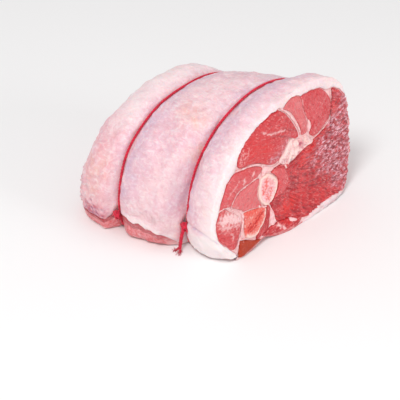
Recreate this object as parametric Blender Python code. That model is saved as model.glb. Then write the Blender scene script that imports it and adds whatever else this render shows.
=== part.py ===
"""Semi-boneless leg of lamb, rolled and tied with two strings.

A round of lean meat is wrapped over the top, the front and the left end by a cover of fat.
Its right end is a sawn face that shows the muscles, two cut bones and a piece of gristle.
X runs towards the cut face, Y to the back and Z up. The sizes below are millimetres,
measured from the front foot of the cut face; the finished joint is moved so that its
origin lies at the bottom centre of its box.
"""

import math

import bmesh
import bpy
import numpy as np

for old in list(bpy.data.objects):
    bpy.data.objects.remove(old, do_unlink=True)

MM = 0.001
GAP = 0.3

# Length of the joint: the strings stand across it, and the left end is a blunt cap
LEFT_STRING_X = -97.0
RIGHT_STRING_X = -42.0
STRINGS = (LEFT_STRING_X, RIGHT_STRING_X)
CAP_X = -112.0
CAP_LENGTH = 38.0
CAP_POWERS = (3.2, 2.2)
CAP_CENTRE = (42.0, 7.0)
TILT = math.tan(math.radians(7.0))
TILT_REACH = 37.0

# Twine
TWINE_RADIUS = 1.1
TWINE_SINK = TWINE_RADIUS + GAP
TWINE_BASE = 1.6
FLOOR_HALF = 1.7
NOTCH_HALF = 3.0
CROWN_SWELL = 20.0
FRONT_SWELL = ((-98.0, 11.0), (-96.0, 15.0), (-43.0, 15.0), (-41.0, 30.0))
SWELL_POWER = 0.8

# Cross sections. Each row is: x, front y, height of the front, crown y, crown height,
# back y, height of the back, front foot y, back foot y, powers of the lower front,
# upper front and back arcs
VALLEYS = np.array([
    (-150.0, -32.5, 22.0, 52.0, 99.5, 121.0, 46.0, -25.5, 108.0, 2.1, 2.3, 2.1),
    (-97.0, -32.5, 22.0, 52.0, 99.5, 121.0, 46.0, -25.5, 108.0, 2.1, 2.3, 2.1),
    (-42.0, -13.5, 24.0, 70.0, 107.5, 139.0, 48.0, -9.0, 128.0, 2.1, 2.1, 2.1),
    (0.0, -13.5, 26.0, 74.0, 107.0, 142.0, 50.0, -4.0, 130.0, 1.8, 1.9, 2.5),
])
CRESTS = np.array([
    (-122.0, -42.0, 22.0, 46.0, 102.0, 118.0, 44.0, -36.5, 106.0, 2.2, 2.0, 2.0),
    (-106.0, -44.0, 22.0, 50.0, 104.0, 121.0, 45.0, -40.0, 108.0, 2.2, 2.1, 2.0),
    (-72.0, -36.0, 22.0, 58.0, 107.0, 134.0, 48.0, -29.5, 124.0, 2.2, 2.1, 2.0),
    (-20.0, -28.0, 34.0, 74.0, 112.5, 145.0, 50.0, -11.0, 130.0, 1.7, 1.95, 2.7),
    (0.0, -27.0, 35.0, 76.0, 110.5, 144.8, 48.0, -2.0, 131.0, 1.35, 1.85, 3.6),
])

# Fat cover: height of its front edge and of its back edge, and its thickness
FRONT_EDGE = ((-150.0, 3.0), (-122.0, 9.0), (-105.0, 12.0), (-90.0, 14.0), (-75.0, 12.5),
              (-60.0, 11.0), (-51.0, 7.0), (-45.0, 1.5), (0.0, 1.5))
BACK_EDGE = ((-122.0, 24.0), (-97.0, 40.0), (-42.0, 72.0), (0.0, 81.0))
FLANK_FAT = 4.6
CROWN_FAT = 6.4
SHOULDER_FAT = 1.4
EDGE_FAT = 3.2
END_FAT = 5.0
RIM_ROUND = 1.3
LEAN_STEP = 0.9
LEAN_SETBACK = 0.8

# Columns of the surface: strip of lean below the fat, fat cover, bare back, underside
STRIP_COLUMNS = 4
COVER_COLUMNS = 34
BARE_COLUMNS = 8
UNDER_COLUMNS = 10
FACE_RINGS = 12

# Cut face
FACE_CENTRE = (58.0, 50.0)
LIP = 5.0
ARCH_Y = 30.0
ARCH_HALF = 9.0
ARCH_RISE = 4.5
ARCH_REACH = 22.0
TORN_FROM_Y = 104.0
TORN_RELIEF = 1.3
FACE_RELIEF = 0.45


def smooth(low, high, value):
    """Rises from 0 at low to 1 at high with no kink."""
    t = np.clip((value - low) / (high - low), 0.0, 1.0)
    return t * t * (3.0 - 2.0 * t)


def read_table(table, x):
    table = np.asarray(table)
    return np.array([np.interp(x, table[:, 0], table[:, k]) for k in range(1, table.shape[1])])


def from_string(x):
    return min(abs(x - s) for s in STRINGS)


def swell(x, reach):
    """How far the meat swells out between the strings: 0 at a string, 1 on a lobe."""
    part = np.clip((from_string(x) - FLOOR_HALF) / reach, 0.0, 1.0)
    return math.sin(0.5 * math.pi * part) ** SWELL_POWER


def in_notch(x):
    """1 in the narrow notch that a string lies in, 0 outside it."""
    return float(np.interp(from_string(x), (FLOOR_HALF, NOTCH_HALF), (1.0, 0.0)))


def quarter(centre, reach, power, start, end, count=40):
    """Quarter of a superellipse, from angle start to angle end."""
    a = np.linspace(start, end, count)
    y = centre[0] + reach[0] * np.abs(np.cos(a)) ** (2.0 / power)
    z = centre[1] + reach[1] * np.abs(np.sin(a)) ** (2.0 / power)
    return np.stack([y, z], 1)


def outline(x):
    """Section from the front foot over the crown to the back foot, as four superellipse arcs."""
    w = np.full(11, swell(x, CROWN_SWELL))
    w[[0, 1, 6, 7]] = swell(x, float(read_table(FRONT_SWELL, x)[0]))
    sizes = read_table(VALLEYS, x) * (1.0 - w) + read_table(CRESTS, x) * w
    front_y, front_z, crown_y, crown_z, back_y, back_z, foot_f, foot_b, p_low, p_up, p_back = sizes
    base = TWINE_BASE * in_notch(x)
    top = 0.5 * math.pi
    arcs = [
        quarter((foot_f, front_z), (front_y - foot_f, base - front_z), p_low, top, 0.0),
        quarter((crown_y, front_z), (front_y - crown_y, crown_z - front_z), p_up, 0.0, top)[1:],
        quarter((crown_y, back_z), (back_y - crown_y, crown_z - back_z), p_back, top, 0.0)[1:],
        quarter((foot_b, back_z), (back_y - foot_b, base - back_z), 2.2, 0.0, top)[1:],
    ]
    return np.concatenate(arcs)


def along(line):
    return np.concatenate([[0.0], np.cumsum(np.linalg.norm(np.diff(line, axis=0), axis=1))])


def crossing(line, run, height, backwards):
    """Distance along the section at which it first rises through a height."""
    z = line[::-1, 1] if backwards else line[:, 1]
    s = run[::-1] if backwards else run
    k = int(np.argmax(z > height))
    part = (height - z[k - 1]) / (z[k] - z[k - 1])
    return s[k - 1] + part * (s[k] - s[k - 1])


def section(x):
    """Points and outward normals of the section at the columns, grouped by kind of surface."""
    line = outline(x)
    run = along(line)
    low = max(float(read_table(FRONT_EDGE, x)[0]), 1.0 + 2.0 * TWINE_BASE * in_notch(x))
    s_front = crossing(line, run, low, False)
    s_back = crossing(line, run, float(read_table(BACK_EDGE, x)[0]), True)
    groups = {
        "strip": np.linspace(0.0, s_front - LEAN_STEP, STRIP_COLUMNS),
        "cover": np.linspace(s_front, s_back, COVER_COLUMNS),
        "bare": np.linspace(s_back + LEAN_STEP, run[-1], BARE_COLUMNS),
    }
    tangent = np.gradient(line, run, axis=0)
    normal = np.stack([-tangent[:, 1], tangent[:, 0]], 1)
    normal /= np.linalg.norm(normal, axis=1, keepdims=True)
    result = {}
    for name, s in groups.items():
        point = np.stack([np.interp(s, run, line[:, k]) for k in (0, 1)], 1)
        out = np.stack([np.interp(s, run, normal[:, k]) for k in (0, 1)], 1)
        result[name] = (point, out / np.linalg.norm(out, axis=1, keepdims=True))
    return result


def fat_thickness(x):
    """Thickness of the fat at each cover column."""
    u = np.linspace(0.0, 1.0, COVER_COLUMNS)
    crown = CROWN_FAT - (CROWN_FAT - FLANK_FAT) * smooth(0.0, -60.0, x)
    return np.interp(u, (0.0, 0.06, 0.3, 0.55, 0.78, 0.92, 1.0),
                     (EDGE_FAT, FLANK_FAT, FLANK_FAT, crown, crown + SHOULDER_FAT, crown, EDGE_FAT))


def underside(x, y_from, y_to):
    """Bottom of the section from the back foot to the front foot, without its two ends."""
    y = np.linspace(y_from, y_to, UNDER_COLUMNS + 2)[1:-1]
    fade = np.clip((x + ARCH_REACH) / ARCH_REACH, 0.0, 1.0)
    arch = ARCH_RISE * np.exp(-((y - ARCH_Y) / ARCH_HALF) ** 2) * fade
    base = (TWINE_BASE + TWINE_SINK) * in_notch(x)
    return np.stack([y, np.maximum(arch, base)], 1)


def place(x, yz):
    """Section points in space: stations near the cut face lean back with it."""
    y, z = yz[:, 0], yz[:, 1]
    lean = np.clip((x + TILT_REACH) / TILT_REACH, 0.0, None)
    lip = LIP * smooth(34.0, 62.0, y) * smooth(142.0, 124.0, y) * np.clip(1.0 - z / 30.0, 0.0, 1.0) ** 2
    return np.stack([x - z * TILT * lean + lip * lean ** 2, y, z], 1)


def body_stations():
    marks = list(np.linspace(CAP_X, LEFT_STRING_X - 6.0, 5))
    spans = ((LEFT_STRING_X, RIGHT_STRING_X - 6.0, 7), (RIGHT_STRING_X, -6.0, 6))
    for string_x, reach, count in spans:
        marks += [string_x - NOTCH_HALF, string_x - FLOOR_HALF,
                  string_x + FLOOR_HALF, string_x + NOTCH_HALF]
        marks += list(np.linspace(string_x + 6.0, reach, count))
    return marks + [-RIM_ROUND, 0.0]


def cap_steps():
    """Depth into the left cap as a fraction, and the scales of width and height there."""
    depths = np.sin(np.linspace(0.0, 0.5 * math.pi, 9)[1:-1]) ** 0.9
    return [(deep, [(1.0 - deep ** p) ** (1.0 / p) for p in CAP_POWERS]) for deep in depths]


def shrink(yz, scales):
    centre = np.array(CAP_CENTRE)
    return centre + (yz - centre) * np.array(scales)


def link_mesh(name, vertices, faces, collection):
    mesh = bpy.data.meshes.new(name)
    mesh.from_pydata([tuple(v) for v in np.asarray(vertices) * MM], [], faces)
    mesh.validate()
    obj = bpy.data.objects.new(name, mesh)
    collection.objects.link(obj)
    tidy(obj)
    return obj


def tidy(obj):
    """Welds coincident points and turns every face outwards."""
    work = bmesh.new()
    work.from_mesh(obj.data)
    bmesh.ops.remove_doubles(work, verts=work.verts, dist=1e-6)
    bmesh.ops.recalc_face_normals(work, faces=work.faces)
    work.to_mesh(obj.data)
    work.free()


def grid_faces(rows, columns, start=0, closed=False, flip=False):
    faces = []
    for i in range(rows - 1):
        for j in range(columns if closed else columns - 1):
            k = (j + 1) % columns
            a, b = start + i * columns + j, start + i * columns + k
            halves = ((a, b, b + columns), (a, b + columns, a + columns))
            faces += [half[::-1] if flip else half for half in halves]
    return faces


def material(name, colour, roughness):
    slot = bpy.data.materials.new(name)
    slot.use_nodes = True
    shader = slot.node_tree.nodes["Principled BSDF"]
    shader.inputs["Base Color"].default_value = (*colour, 1.0)
    shader.inputs["Roughness"].default_value = roughness
    shader.inputs["Metallic"].default_value = 0.0
    return slot


def finish(obj, slot, angle=50.0):
    obj.data.materials.clear()
    obj.data.materials.append(slot)
    for face in obj.data.polygons:
        face.use_smooth = True
    obj.data.set_sharp_from_angle(angle=math.radians(angle))


def boolean(obj, other, operation):
    """Joins or cuts with the exact solver and keeps the result as the object's mesh."""
    step = obj.modifiers.new(operation.lower(), "BOOLEAN")
    step.operation = operation
    step.solver = "EXACT"
    step.object = other
    view = bpy.context.evaluated_depsgraph_get()
    result = bpy.data.meshes.new_from_object(obj.evaluated_get(view))
    obj.modifiers.remove(step)
    obj.data = result


# Lean meat
def lean_loop(x, depth):
    """Closed loop of the lean: bare strips stay near the skin, covered columns lie under the fat."""
    groups = section(x)
    sink = TWINE_SINK * in_notch(x)
    point, out = groups["strip"]
    setback = np.linspace(0.0, 1.0, STRIP_COLUMNS)[:, None] * LEAN_SETBACK
    strip = point - out * np.maximum(sink, setback * (1.0 - in_notch(x)))
    point, out = groups["cover"]
    cover = point - out * (fat_thickness(x)[:, None] * depth + GAP)
    point, out = groups["bare"]
    bare = point - out * sink
    under = underside(x, bare[-1, 0], strip[0, 0])
    return np.concatenate([strip, cover, bare, under])


def face_relief(y, z):
    """Swell and tearing of the cut face, in millimetres out of its plane."""
    slow = np.sin(0.11 * y + 0.7) * np.sin(0.13 * z + 0.4)
    torn = np.sin(0.52 * y + 0.21 * z) * np.sin(0.47 * z - 0.16 * y + 1.1)
    rough = smooth(TORN_FROM_Y, TORN_FROM_Y + 22.0, y)
    return FACE_RELIEF * slow * (1.0 - rough) + TORN_RELIEF * torn * rough


def make_lean(collection):
    loops = []
    for deep, scale in reversed(cap_steps()):
        loop = lean_loop(CAP_X, 1.0)
        covered = np.zeros(len(loop))
        covered[STRIP_COLUMNS:STRIP_COLUMNS + COVER_COLUMNS] = 1.0
        back = (END_FAT + GAP) * np.maximum(covered, smooth(0.75, 1.0, deep))
        yz = shrink(loop, scale)
        loops.append(np.column_stack([CAP_X - (CAP_LENGTH - back) * deep, yz]))
    for x in body_stations():
        loops.append(place(x, lean_loop(x, 1.0)))
    columns = len(loops[0])
    edge = loops[-1]
    centre = np.array(FACE_CENTRE)
    for ring in np.linspace(1.0, 0.0, FACE_RINGS + 1)[1:-1]:
        yz = centre + (edge[:, 1:] - centre) * ring
        x = -yz[:, 1] * TILT + (edge[:, 0] + edge[:, 2] * TILT) * ring ** 3
        x += face_relief(yz[:, 0], yz[:, 1]) * smooth(1.0, 0.8, ring)
        loops.append(np.column_stack([x, yz]))
    vertices = np.concatenate(loops)
    rows = len(loops)
    pole = np.array([[CAP_X - CAP_LENGTH + END_FAT + GAP, *CAP_CENTRE]])
    hub = np.array([[-centre[1] * TILT + face_relief(*centre), *centre]])
    faces = grid_faces(rows, columns, closed=True)
    first, last = rows * columns, rows * columns + 1
    for j in range(columns):
        k = (j + 1) % columns
        faces.append((first, k, j))
        faces.append((last, (rows - 1) * columns + j, (rows - 1) * columns + k))
    return link_mesh("lean_meat", np.concatenate([vertices, pole, hub]), faces, collection)


# Fat cover
def knot_dent(points, knots):
    """Depth of the soft dents that the knots press into the fat."""
    depth = np.zeros(len(points))
    for knot in knots:
        away = (points - knot) / np.array([6.5, 30.0, 7.5])
        depth += KNOT_DENT * np.exp(-np.sum(away ** 2, axis=1))
    return depth


def cover_rows(inner, knots):
    """Rows of the outer or the inner face of the fat, from the left cap to the cut edge."""
    rows = []
    stations = body_stations()
    for deep, scale in reversed(cap_steps()):
        point, out = section(CAP_X)["cover"]
        thick = fat_thickness(CAP_X)[:, None] if inner else 0.0
        yz = shrink(point - out * thick, scale)
        back = END_FAT if inner else 0.0
        rows.append(np.column_stack([np.full(len(yz), CAP_X - (CAP_LENGTH - back) * deep), yz]))
    for x in stations:
        point, out = section(x)["cover"]
        if inner:
            depth = fat_thickness(x)[:, None]
        else:
            depth = TWINE_SINK * in_notch(x) + (RIM_ROUND if x == stations[-1] else 0.0)
            depth = depth + knot_dent(place(x, point), knots)[:, None]
        rows.append(place(x, point - out * depth))
    return rows


def make_fat_cover(collection, knots):
    outer = cover_rows(False, knots)
    inner = cover_rows(True, knots)
    rows, columns = len(outer), COVER_COLUMNS
    vertices = np.concatenate(outer + inner)
    half = rows * columns
    faces = grid_faces(rows, columns) + grid_faces(rows, columns, half, flip=True)
    poles = np.array([[CAP_X - CAP_LENGTH, *CAP_CENTRE], [CAP_X - CAP_LENGTH + END_FAT, *CAP_CENTRE]])
    outer_pole, inner_pole = 2 * half, 2 * half + 1
    for j in range(columns - 1):
        faces.append((outer_pole, j + 1, j))
        faces.append((inner_pole, half + j, half + j + 1))
        last = (rows - 1) * columns + j
        faces.append((last, last + 1, half + last + 1, half + last))
    for i in range(rows - 1):
        for j in (0, columns - 1):
            a = i * columns + j
            faces.append((a, a + columns, half + a + columns, half + a))
    for j in (0, columns - 1):
        faces.append((outer_pole, j, half + j, inner_pole))
    return link_mesh("fat_cover", np.concatenate([vertices, poles]), faces, collection)


# Pieces that show at the cut face and run into the meat
PROUD = 0.4
EDGE_ROUND = 0.6
EDGE_EASE = 0.05
CUTTER_REACH = 6.0
THIGH_BONE = {"centre": (39.6, 43.8), "reach": (10.6, 13.6), "depth": 96.0, "taper": 0.86}
SPONGY_BONE = {"centre": (21.8, 23.4), "reach": (12.8, 12.0), "depth": 34.0, "taper": 0.8}
GRISTLE = {"ends": ((57.5, 57.0), (96.5, 62.5)), "half_height": 6.6, "depth": 36.0, "taper": 0.75}
FAT_STRIP = {"middle": 101.0, "half_width": 28.0, "height": 4.6, "depth": 112.0, "power": 3.0}
FAT_DRIFT = 0.25


def oval(piece, grow, count=20, power=2.2):
    """Superellipse outline of a bone, grown by a clearance."""
    a = np.linspace(0.0, 2.0 * math.pi, count, endpoint=False)
    c, s = np.cos(a), np.sin(a)
    y = np.sign(c) * np.abs(c) ** (2.0 / power) * (piece["reach"][0] + grow)
    z = np.sign(s) * np.abs(s) ** (2.0 / power) * (piece["reach"][1] + grow)
    return np.array(piece["centre"]) + np.column_stack([y, z])


def gristle_outline(grow, count=28):
    """Long spindle along its axis with a blunt, lumpy edge."""
    start, end = (np.array(p) for p in GRISTLE["ends"])
    axis = end - start
    length = np.linalg.norm(axis)
    axis /= length
    side = np.array([-axis[1], axis[0]])
    a = np.linspace(0.0, 2.0 * math.pi, count, endpoint=False)
    run = 0.5 * length * (1.0 + np.cos(a))
    lump = 1.0 + 0.16 * np.sin(3.0 * a + 0.6) + 0.10 * np.sin(5.0 * a)
    high = GRISTLE["half_height"] * np.sin(a) * lump
    middle = start + axis * (run + grow * np.cos(a))[:, None]
    bow = 3.2 * np.sin(math.pi * run / length)
    return middle + side * (high + bow + grow * np.sin(a))[:, None]


def strip_outline(grow, count=20):
    """Low flat-bottomed slab of fat."""
    a = np.linspace(0.0, math.pi, count)
    c, s = np.cos(a), np.sin(a)
    power = FAT_STRIP["power"]
    y = FAT_STRIP["middle"] + np.sign(c) * np.abs(c) ** (2.0 / power) * (FAT_STRIP["half_width"] + grow)
    z = np.abs(s) ** (2.0 / power) * (FAT_STRIP["height"] + grow)
    if grow:
        z[0] = z[-1] = -2.0
    return np.column_stack([y, z])


def plug(name, ring, depth, taper, collection, cutter=False, on_lip=False):
    """Solid that follows an outline from the cut face into the meat, or the cutter of its pocket."""
    middle = ring.mean(axis=0)
    if on_lip:
        middle = np.array([middle[0], 0.0])
    tip = (CUTTER_REACH, 1.0) if cutter else (PROUD, 1.0 - EDGE_EASE)
    stations = [tip, (PROUD - EDGE_ROUND, 1.0), (-0.35 * depth, 0.5 + 0.5 * taper),
                (-depth + 2.0, taper), (-depth, 0.9 * taper)]
    rows = []
    for x, scale in stations:
        yz = middle + (ring - middle) * scale
        row = place(0.0, yz) if on_lip else np.column_stack([-yz[:, 1] * TILT, yz])
        row[:, 0] = x + row[:, 0] * np.clip(1.0 + x / TILT_REACH, 0.0, 1.0)
        if on_lip:
            row[:, 1] += FAT_DRIFT * min(x, 0.0)
        rows.append(row)
    count = len(ring)
    faces = grid_faces(len(rows), count, closed=True)
    faces.append(tuple(range(count)))
    faces.append(tuple(range((len(rows) - 1) * count, len(rows) * count))[::-1])
    return link_mesh(name, np.concatenate(rows), faces, collection)


def string_groove(string_x, collection):
    """Bar that cuts the groove of a string across the strip of fat below."""
    profile = ((-NOTCH_HALF - 0.6, -1.0), (-FLOOR_HALF, TWINE_BASE + TWINE_SINK),
               (FLOOR_HALF, TWINE_BASE + TWINE_SINK), (NOTCH_HALF + 0.6, -1.0))
    middle = FAT_STRIP["middle"] + FAT_DRIFT * string_x
    reach = (middle - 45.0, middle + 45.0)
    vertices = [(string_x + x, y, z) for y in reach for x, z in profile]
    faces = grid_faces(2, 4, closed=True) + [(0, 1, 2, 3), (7, 6, 5, 4)]
    return link_mesh(f"groove_{int(-string_x)}", vertices, faces, collection)


# Twine: a loop, a knot at the front and, on the right string, a frayed tail
KNOT_HEIGHTS = {LEFT_STRING_X: 16.0, RIGHT_STRING_X: 20.0}
KNOT_REACH = (2.8, 2.3, 3.6)
KNOT_DENT = 2.6
TAIL_SWAY = 5.5


def knot_place(string_x):
    """Middle of a knot, just outside the string where the string passes its height."""
    line = outline(string_x)
    k = int(np.argmax(line[:, 1] > KNOT_HEIGHTS[string_x]))
    return np.array([string_x, line[k, 0] - KNOT_REACH[1], line[k, 1]])


def tube(name, points, radius, closed, collection, radii=None):
    curve = bpy.data.curves.new(name, "CURVE")
    curve.dimensions = "3D"
    curve.bevel_depth = radius * MM
    curve.bevel_resolution = 1
    curve.use_fill_caps = not closed
    line = curve.splines.new("POLY")
    line.points.add(len(points) - 1)
    for k, point in enumerate(points):
        line.points[k].co = (*(np.asarray(point) * MM), 1.0)
        line.points[k].radius = 1.0 if radii is None else radii[k]
    line.use_cyclic_u = closed
    path = bpy.data.objects.new(name + "_path", curve)
    collection.objects.link(path)
    view = bpy.context.evaluated_depsgraph_get()
    mesh = bpy.data.meshes.new_from_object(path.evaluated_get(view))
    mesh.name = name
    bpy.data.objects.remove(path, do_unlink=True)
    obj = bpy.data.objects.new(name, mesh)
    collection.objects.link(obj)
    tidy(obj)
    return obj


def ellipsoid(name, centre, reach, collection):
    work = bmesh.new()
    bmesh.ops.create_icosphere(work, subdivisions=2, radius=1.0)
    for vert in work.verts:
        vert.co = [(c + r * v) * MM for c, r, v in zip(centre, reach, vert.co)]
    mesh = bpy.data.meshes.new(name)
    work.to_mesh(mesh)
    work.free()
    obj = bpy.data.objects.new(name, mesh)
    collection.objects.link(obj)
    return obj


def loop_points(string_x):
    """Path of a string: round the section and along the groove in the underside."""
    groups = section(string_x)
    skin = np.concatenate([groups[name][0] for name in ("strip", "cover", "bare")])
    y = np.linspace(skin[-1, 0], skin[0, 0], UNDER_COLUMNS + 2)[1:-1]
    yz = np.concatenate([skin, np.column_stack([y, np.full(len(y), TWINE_BASE)])])
    return np.column_stack([np.full(len(yz), string_x), yz])


def make_twine(name, string_x, with_tail, collection, cutters):
    twine = tube(name, loop_points(string_x), TWINE_RADIUS, True, collection)
    knot = knot_place(string_x)
    parts = [ellipsoid(name + "_knot", knot, KNOT_REACH, cutters)]
    if with_tail:
        top = knot + np.array([-0.4, -1.0, -2.0])
        foot = np.array([knot[0] + 1.0, knot[1] - TAIL_SWAY, 1.3])
        split = top + (foot - top) * 0.72
        parts.append(tube(name + "_tail", [top, 0.5 * (top + split), split], 1.0, False, cutters))
        for side, reach in ((-1.0, 3.2), (1.0, 1.3)):
            end = foot + np.array([side * reach, -0.6, 0.0])
            start = split + (top - split) * 0.1
            parts.append(tube(f"{name}_fray_{reach}", [start, 0.5 * (split + end), end],
                              0.8, False, cutters, (1.0, 0.9, 0.6)))
    for extra in parts:
        boolean(twine, extra, "UNION")
    tidy(twine)
    return twine


def build():
    scene = bpy.context.scene
    parts = bpy.data.collections.new("lamb_leg_joint")
    cutters = bpy.data.collections.new("cutters")
    scene.collection.children.link(parts)
    scene.collection.children.link(cutters)
    cutters.hide_render = True
    lean_slot = material("lean_red", (0.58, 0.07, 0.06), 0.38)
    fat_slot = material("fat_pink_white", (0.86, 0.62, 0.62), 0.42)
    bone_slot = material("bone_cream", (0.86, 0.52, 0.44), 0.45)
    gristle_slot = material("gristle_white", (0.88, 0.66, 0.60), 0.40)
    twine_slot = material("twine_red", (0.62, 0.02, 0.08), 0.80)
    knots = [knot_place(x) for x in STRINGS]
    lean = make_lean(parts)
    cover = make_fat_cover(parts, knots)
    outlines = {
        "thigh_bone": (THIGH_BONE, lambda grow: oval(THIGH_BONE, grow), bone_slot),
        "spongy_bone": (SPONGY_BONE, lambda grow: oval(SPONGY_BONE, grow), bone_slot),
        "gristle": (GRISTLE, gristle_outline, gristle_slot),
        "underside_fat": (FAT_STRIP, strip_outline, fat_slot),
    }
    for name, (piece, make_ring, slot) in outlines.items():
        taper = piece.get("taper", 0.96)
        low = name == "underside_fat"
        solid = plug(name, make_ring(0.0), piece["depth"], taper, parts, on_lip=low)
        cutter = plug(name + "_pocket", make_ring(GAP), piece["depth"] + GAP, taper, cutters,
                      cutter=True, on_lip=low)
        boolean(lean, cutter, "DIFFERENCE")
        if low:
            for string_x in STRINGS:
                boolean(solid, string_groove(string_x, cutters), "DIFFERENCE")
            tidy(solid)
        finish(solid, slot)
    tidy(lean)
    twines = [
        make_twine("twine_left", LEFT_STRING_X, False, parts, cutters),
        make_twine("twine_right", RIGHT_STRING_X, True, parts, cutters),
    ]
    finish(lean, lean_slot)
    finish(cover, fat_slot)
    for twine in twines:
        finish(twine, twine_slot, 80.0)
    for cutter in cutters.objects:
        cutter.hide_render = True
        cutter.display_type = "WIRE"
    corners = np.array([vert.co for obj in parts.objects for vert in obj.data.vertices])
    low, high = corners.min(axis=0), corners.max(axis=0)
    shift = np.array([-0.5 * (low[0] + high[0]), -0.5 * (low[1] + high[1]), -low[2]])
    for obj in list(parts.objects) + list(cutters.objects):
        obj.location = shift


build()
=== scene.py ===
"""Semi-boneless leg of lamb, tied with two strings, with its cut face, fat, bones and twine.

Sizes are in millimetres, measured from the front foot of the cut face: x runs towards the cut
face, y to the back and z up. Places on the cut face are given as (y, v), with v measured up its
sloping plane. to_part moves finished points into the frame of the solids, in metres.
"""

import math

import bpy
import numpy as np
from bpy.props import FloatProperty, FloatVectorProperty, PointerProperty
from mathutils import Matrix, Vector


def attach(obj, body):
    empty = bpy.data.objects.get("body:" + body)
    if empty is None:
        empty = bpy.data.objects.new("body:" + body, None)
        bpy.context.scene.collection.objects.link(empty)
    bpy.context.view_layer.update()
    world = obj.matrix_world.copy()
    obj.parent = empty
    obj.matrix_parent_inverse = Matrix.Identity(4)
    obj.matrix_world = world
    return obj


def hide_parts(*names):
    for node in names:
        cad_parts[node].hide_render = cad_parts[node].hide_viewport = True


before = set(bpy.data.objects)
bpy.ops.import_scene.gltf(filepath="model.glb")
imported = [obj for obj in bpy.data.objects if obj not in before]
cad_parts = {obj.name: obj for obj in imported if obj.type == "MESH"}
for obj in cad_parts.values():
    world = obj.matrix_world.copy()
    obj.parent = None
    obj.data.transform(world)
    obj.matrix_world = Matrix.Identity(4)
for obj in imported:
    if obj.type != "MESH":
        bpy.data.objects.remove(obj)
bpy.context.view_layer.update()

bl_info = {
    "name": "Lamb Leg Joint",
    "version": (1, 0, 0),
    "blender": (4, 5, 0),
    "location": "View3D > Sidebar > Lamb",
    "description": "Dresses the solids of a tied leg of lamb",
    "category": "Object",
}

MM = 0.001
JOINT_SHIFT = np.array([72.323, -50.749, 0.0])

# Form of the joint, as in its solids. Strings, then the cap that closes the left end, then the
# tilt of the cut face and how far it fades into the joint
LEFT_STRING_X = -97.0
RIGHT_STRING_X = -42.0
STRINGS = np.array([LEFT_STRING_X, RIGHT_STRING_X])
CAP_X = -112.0
CAP_LENGTH = 38.0
CAP_POWERS = (3.2, 2.2)
CAP_CENTRE = np.array([42.0, 7.0])
TILT = math.tan(math.radians(7.0))
TILT_REACH = 37.0
# Height of a string under the joint, how deep it lies in the notch, and the notch's half widths
TWINE_BASE = 1.6
TWINE_SINK = 1.05
FLOOR_HALF = 1.0
NOTCH_HALF = 3.0
# How far from a string the joint starts to swell, and how far it needs to be full
SWELL_FLOOR = 1.7
CROWN_SWELL = 20.0
FRONT_SWELL = ((-98.0, 11.0), (-96.0, 15.0), (-43.0, 15.0), (-41.0, 30.0))
SWELL_POWER = 0.8

# Each row is: x, front y, height of the front, crown y, crown height, back y, height of the
# back, front foot y, back foot y, powers of the lower front, upper front and back arcs
VALLEYS = (
    (-150.0, -32.5, 22.0, 52.0, 99.5, 121.0, 46.0, -25.5, 108.0, 2.1, 2.3, 2.1),
    (-97.0, -32.5, 22.0, 52.0, 99.5, 121.0, 46.0, -25.5, 108.0, 2.1, 2.3, 2.1),
    (-42.0, -13.5, 24.0, 70.0, 107.5, 139.0, 48.0, -9.0, 128.0, 2.1, 2.1, 2.1),
    (0.0, -13.5, 26.0, 74.0, 107.0, 142.0, 50.0, -4.0, 130.0, 1.8, 1.9, 2.5),
)
CRESTS = (
    (-122.0, -42.0, 22.0, 46.0, 102.0, 118.0, 44.0, -36.5, 106.0, 2.2, 2.0, 2.0),
    (-106.0, -44.0, 22.0, 50.0, 104.0, 121.0, 45.0, -40.0, 108.0, 2.2, 2.1, 2.0),
    (-72.0, -36.0, 22.0, 58.0, 107.0, 134.0, 48.0, -29.5, 124.0, 2.2, 2.1, 2.0),
    (-20.0, -28.0, 34.0, 74.0, 112.5, 145.0, 50.0, -11.0, 130.0, 1.7, 1.95, 2.7),
    (0.0, -27.0, 35.0, 76.0, 110.5, 144.8, 48.0, -2.0, 131.0, 1.35, 1.85, 3.6),
)
# Height of the lower edge of the fat in front, and of its edge on the back, along x
FRONT_EDGE = ((-150.0, 3.0), (-122.0, 7.5), (-105.0, 11.0), (-97.0, 16.0), (-90.0, 18.0),
              (-80.0, 17.0), (-70.0, 16.5), (-62.0, 15.5), (-54.0, 12.0), (-50.5, 9.0),
              (-46.5, 2.2), (-45.0, 1.5), (0.0, 1.5))
BACK_EDGE = ((-122.0, 24.0), (-97.0, 40.0), (-42.0, 72.0), (0.0, 81.0))
# Thickness of the fat on the flank, the crown, more at the shoulder, at its edges and left end
FLANK_FAT = 4.6
CROWN_FAT = 6.4
SHOULDER_FAT = 1.4
EDGE_FAT = 3.2
END_FAT = 5.0
RIM_ROUND = 2.2
# Low arch under the front of the cut face, the lip at its lower back, and how far the corner
# of that lip is lifted and drawn in
ARCH_Y = 30.0
ARCH_HALF = 9.0
ARCH_RISE = 4.5
ARCH_REACH = 22.0
LIP = 5.0
CORNER_UP = 3.4
CORNER_IN = 2.6
FACE_CENTRE = np.array([58.0, 50.0])
# Size, depth and superellipse power of the strip of fat below, and its drift along the joint
FAT_STRIP = {"middle": 101.0, "half_width": 28.0, "height": 4.6, "depth": 112.0, "power": 3.0}
FAT_DRIFT = 0.25

# Stage, in metres: the camera and the way that it looks, lights and floor
CAMERA_PLACE = (0.680, -0.772, 0.684)
CAMERA_WAY = (-0.5561, 0.6188, -0.5548)
KEY_PLACE = (0.35, -1.0, 1.50)
FILL_PLACE = (1.35, 0.25, 0.55)
LIGHT_AIM = (0.0, 0.0, 0.04)
LIGHT_SIZE = 0.6
STAGE_HALF = 6.0
STAGE_LEVEL = -0.0002

# How the surfaces are divided; on sides that don't show only every third row is kept
CAP_ROWS = 30
STRIP_COLUMNS = 16
COVER_COLUMNS = 232
BARE_COLUMNS = 64
UNDER_COLUMNS = 60
HIDDEN_STEP = 3

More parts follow.
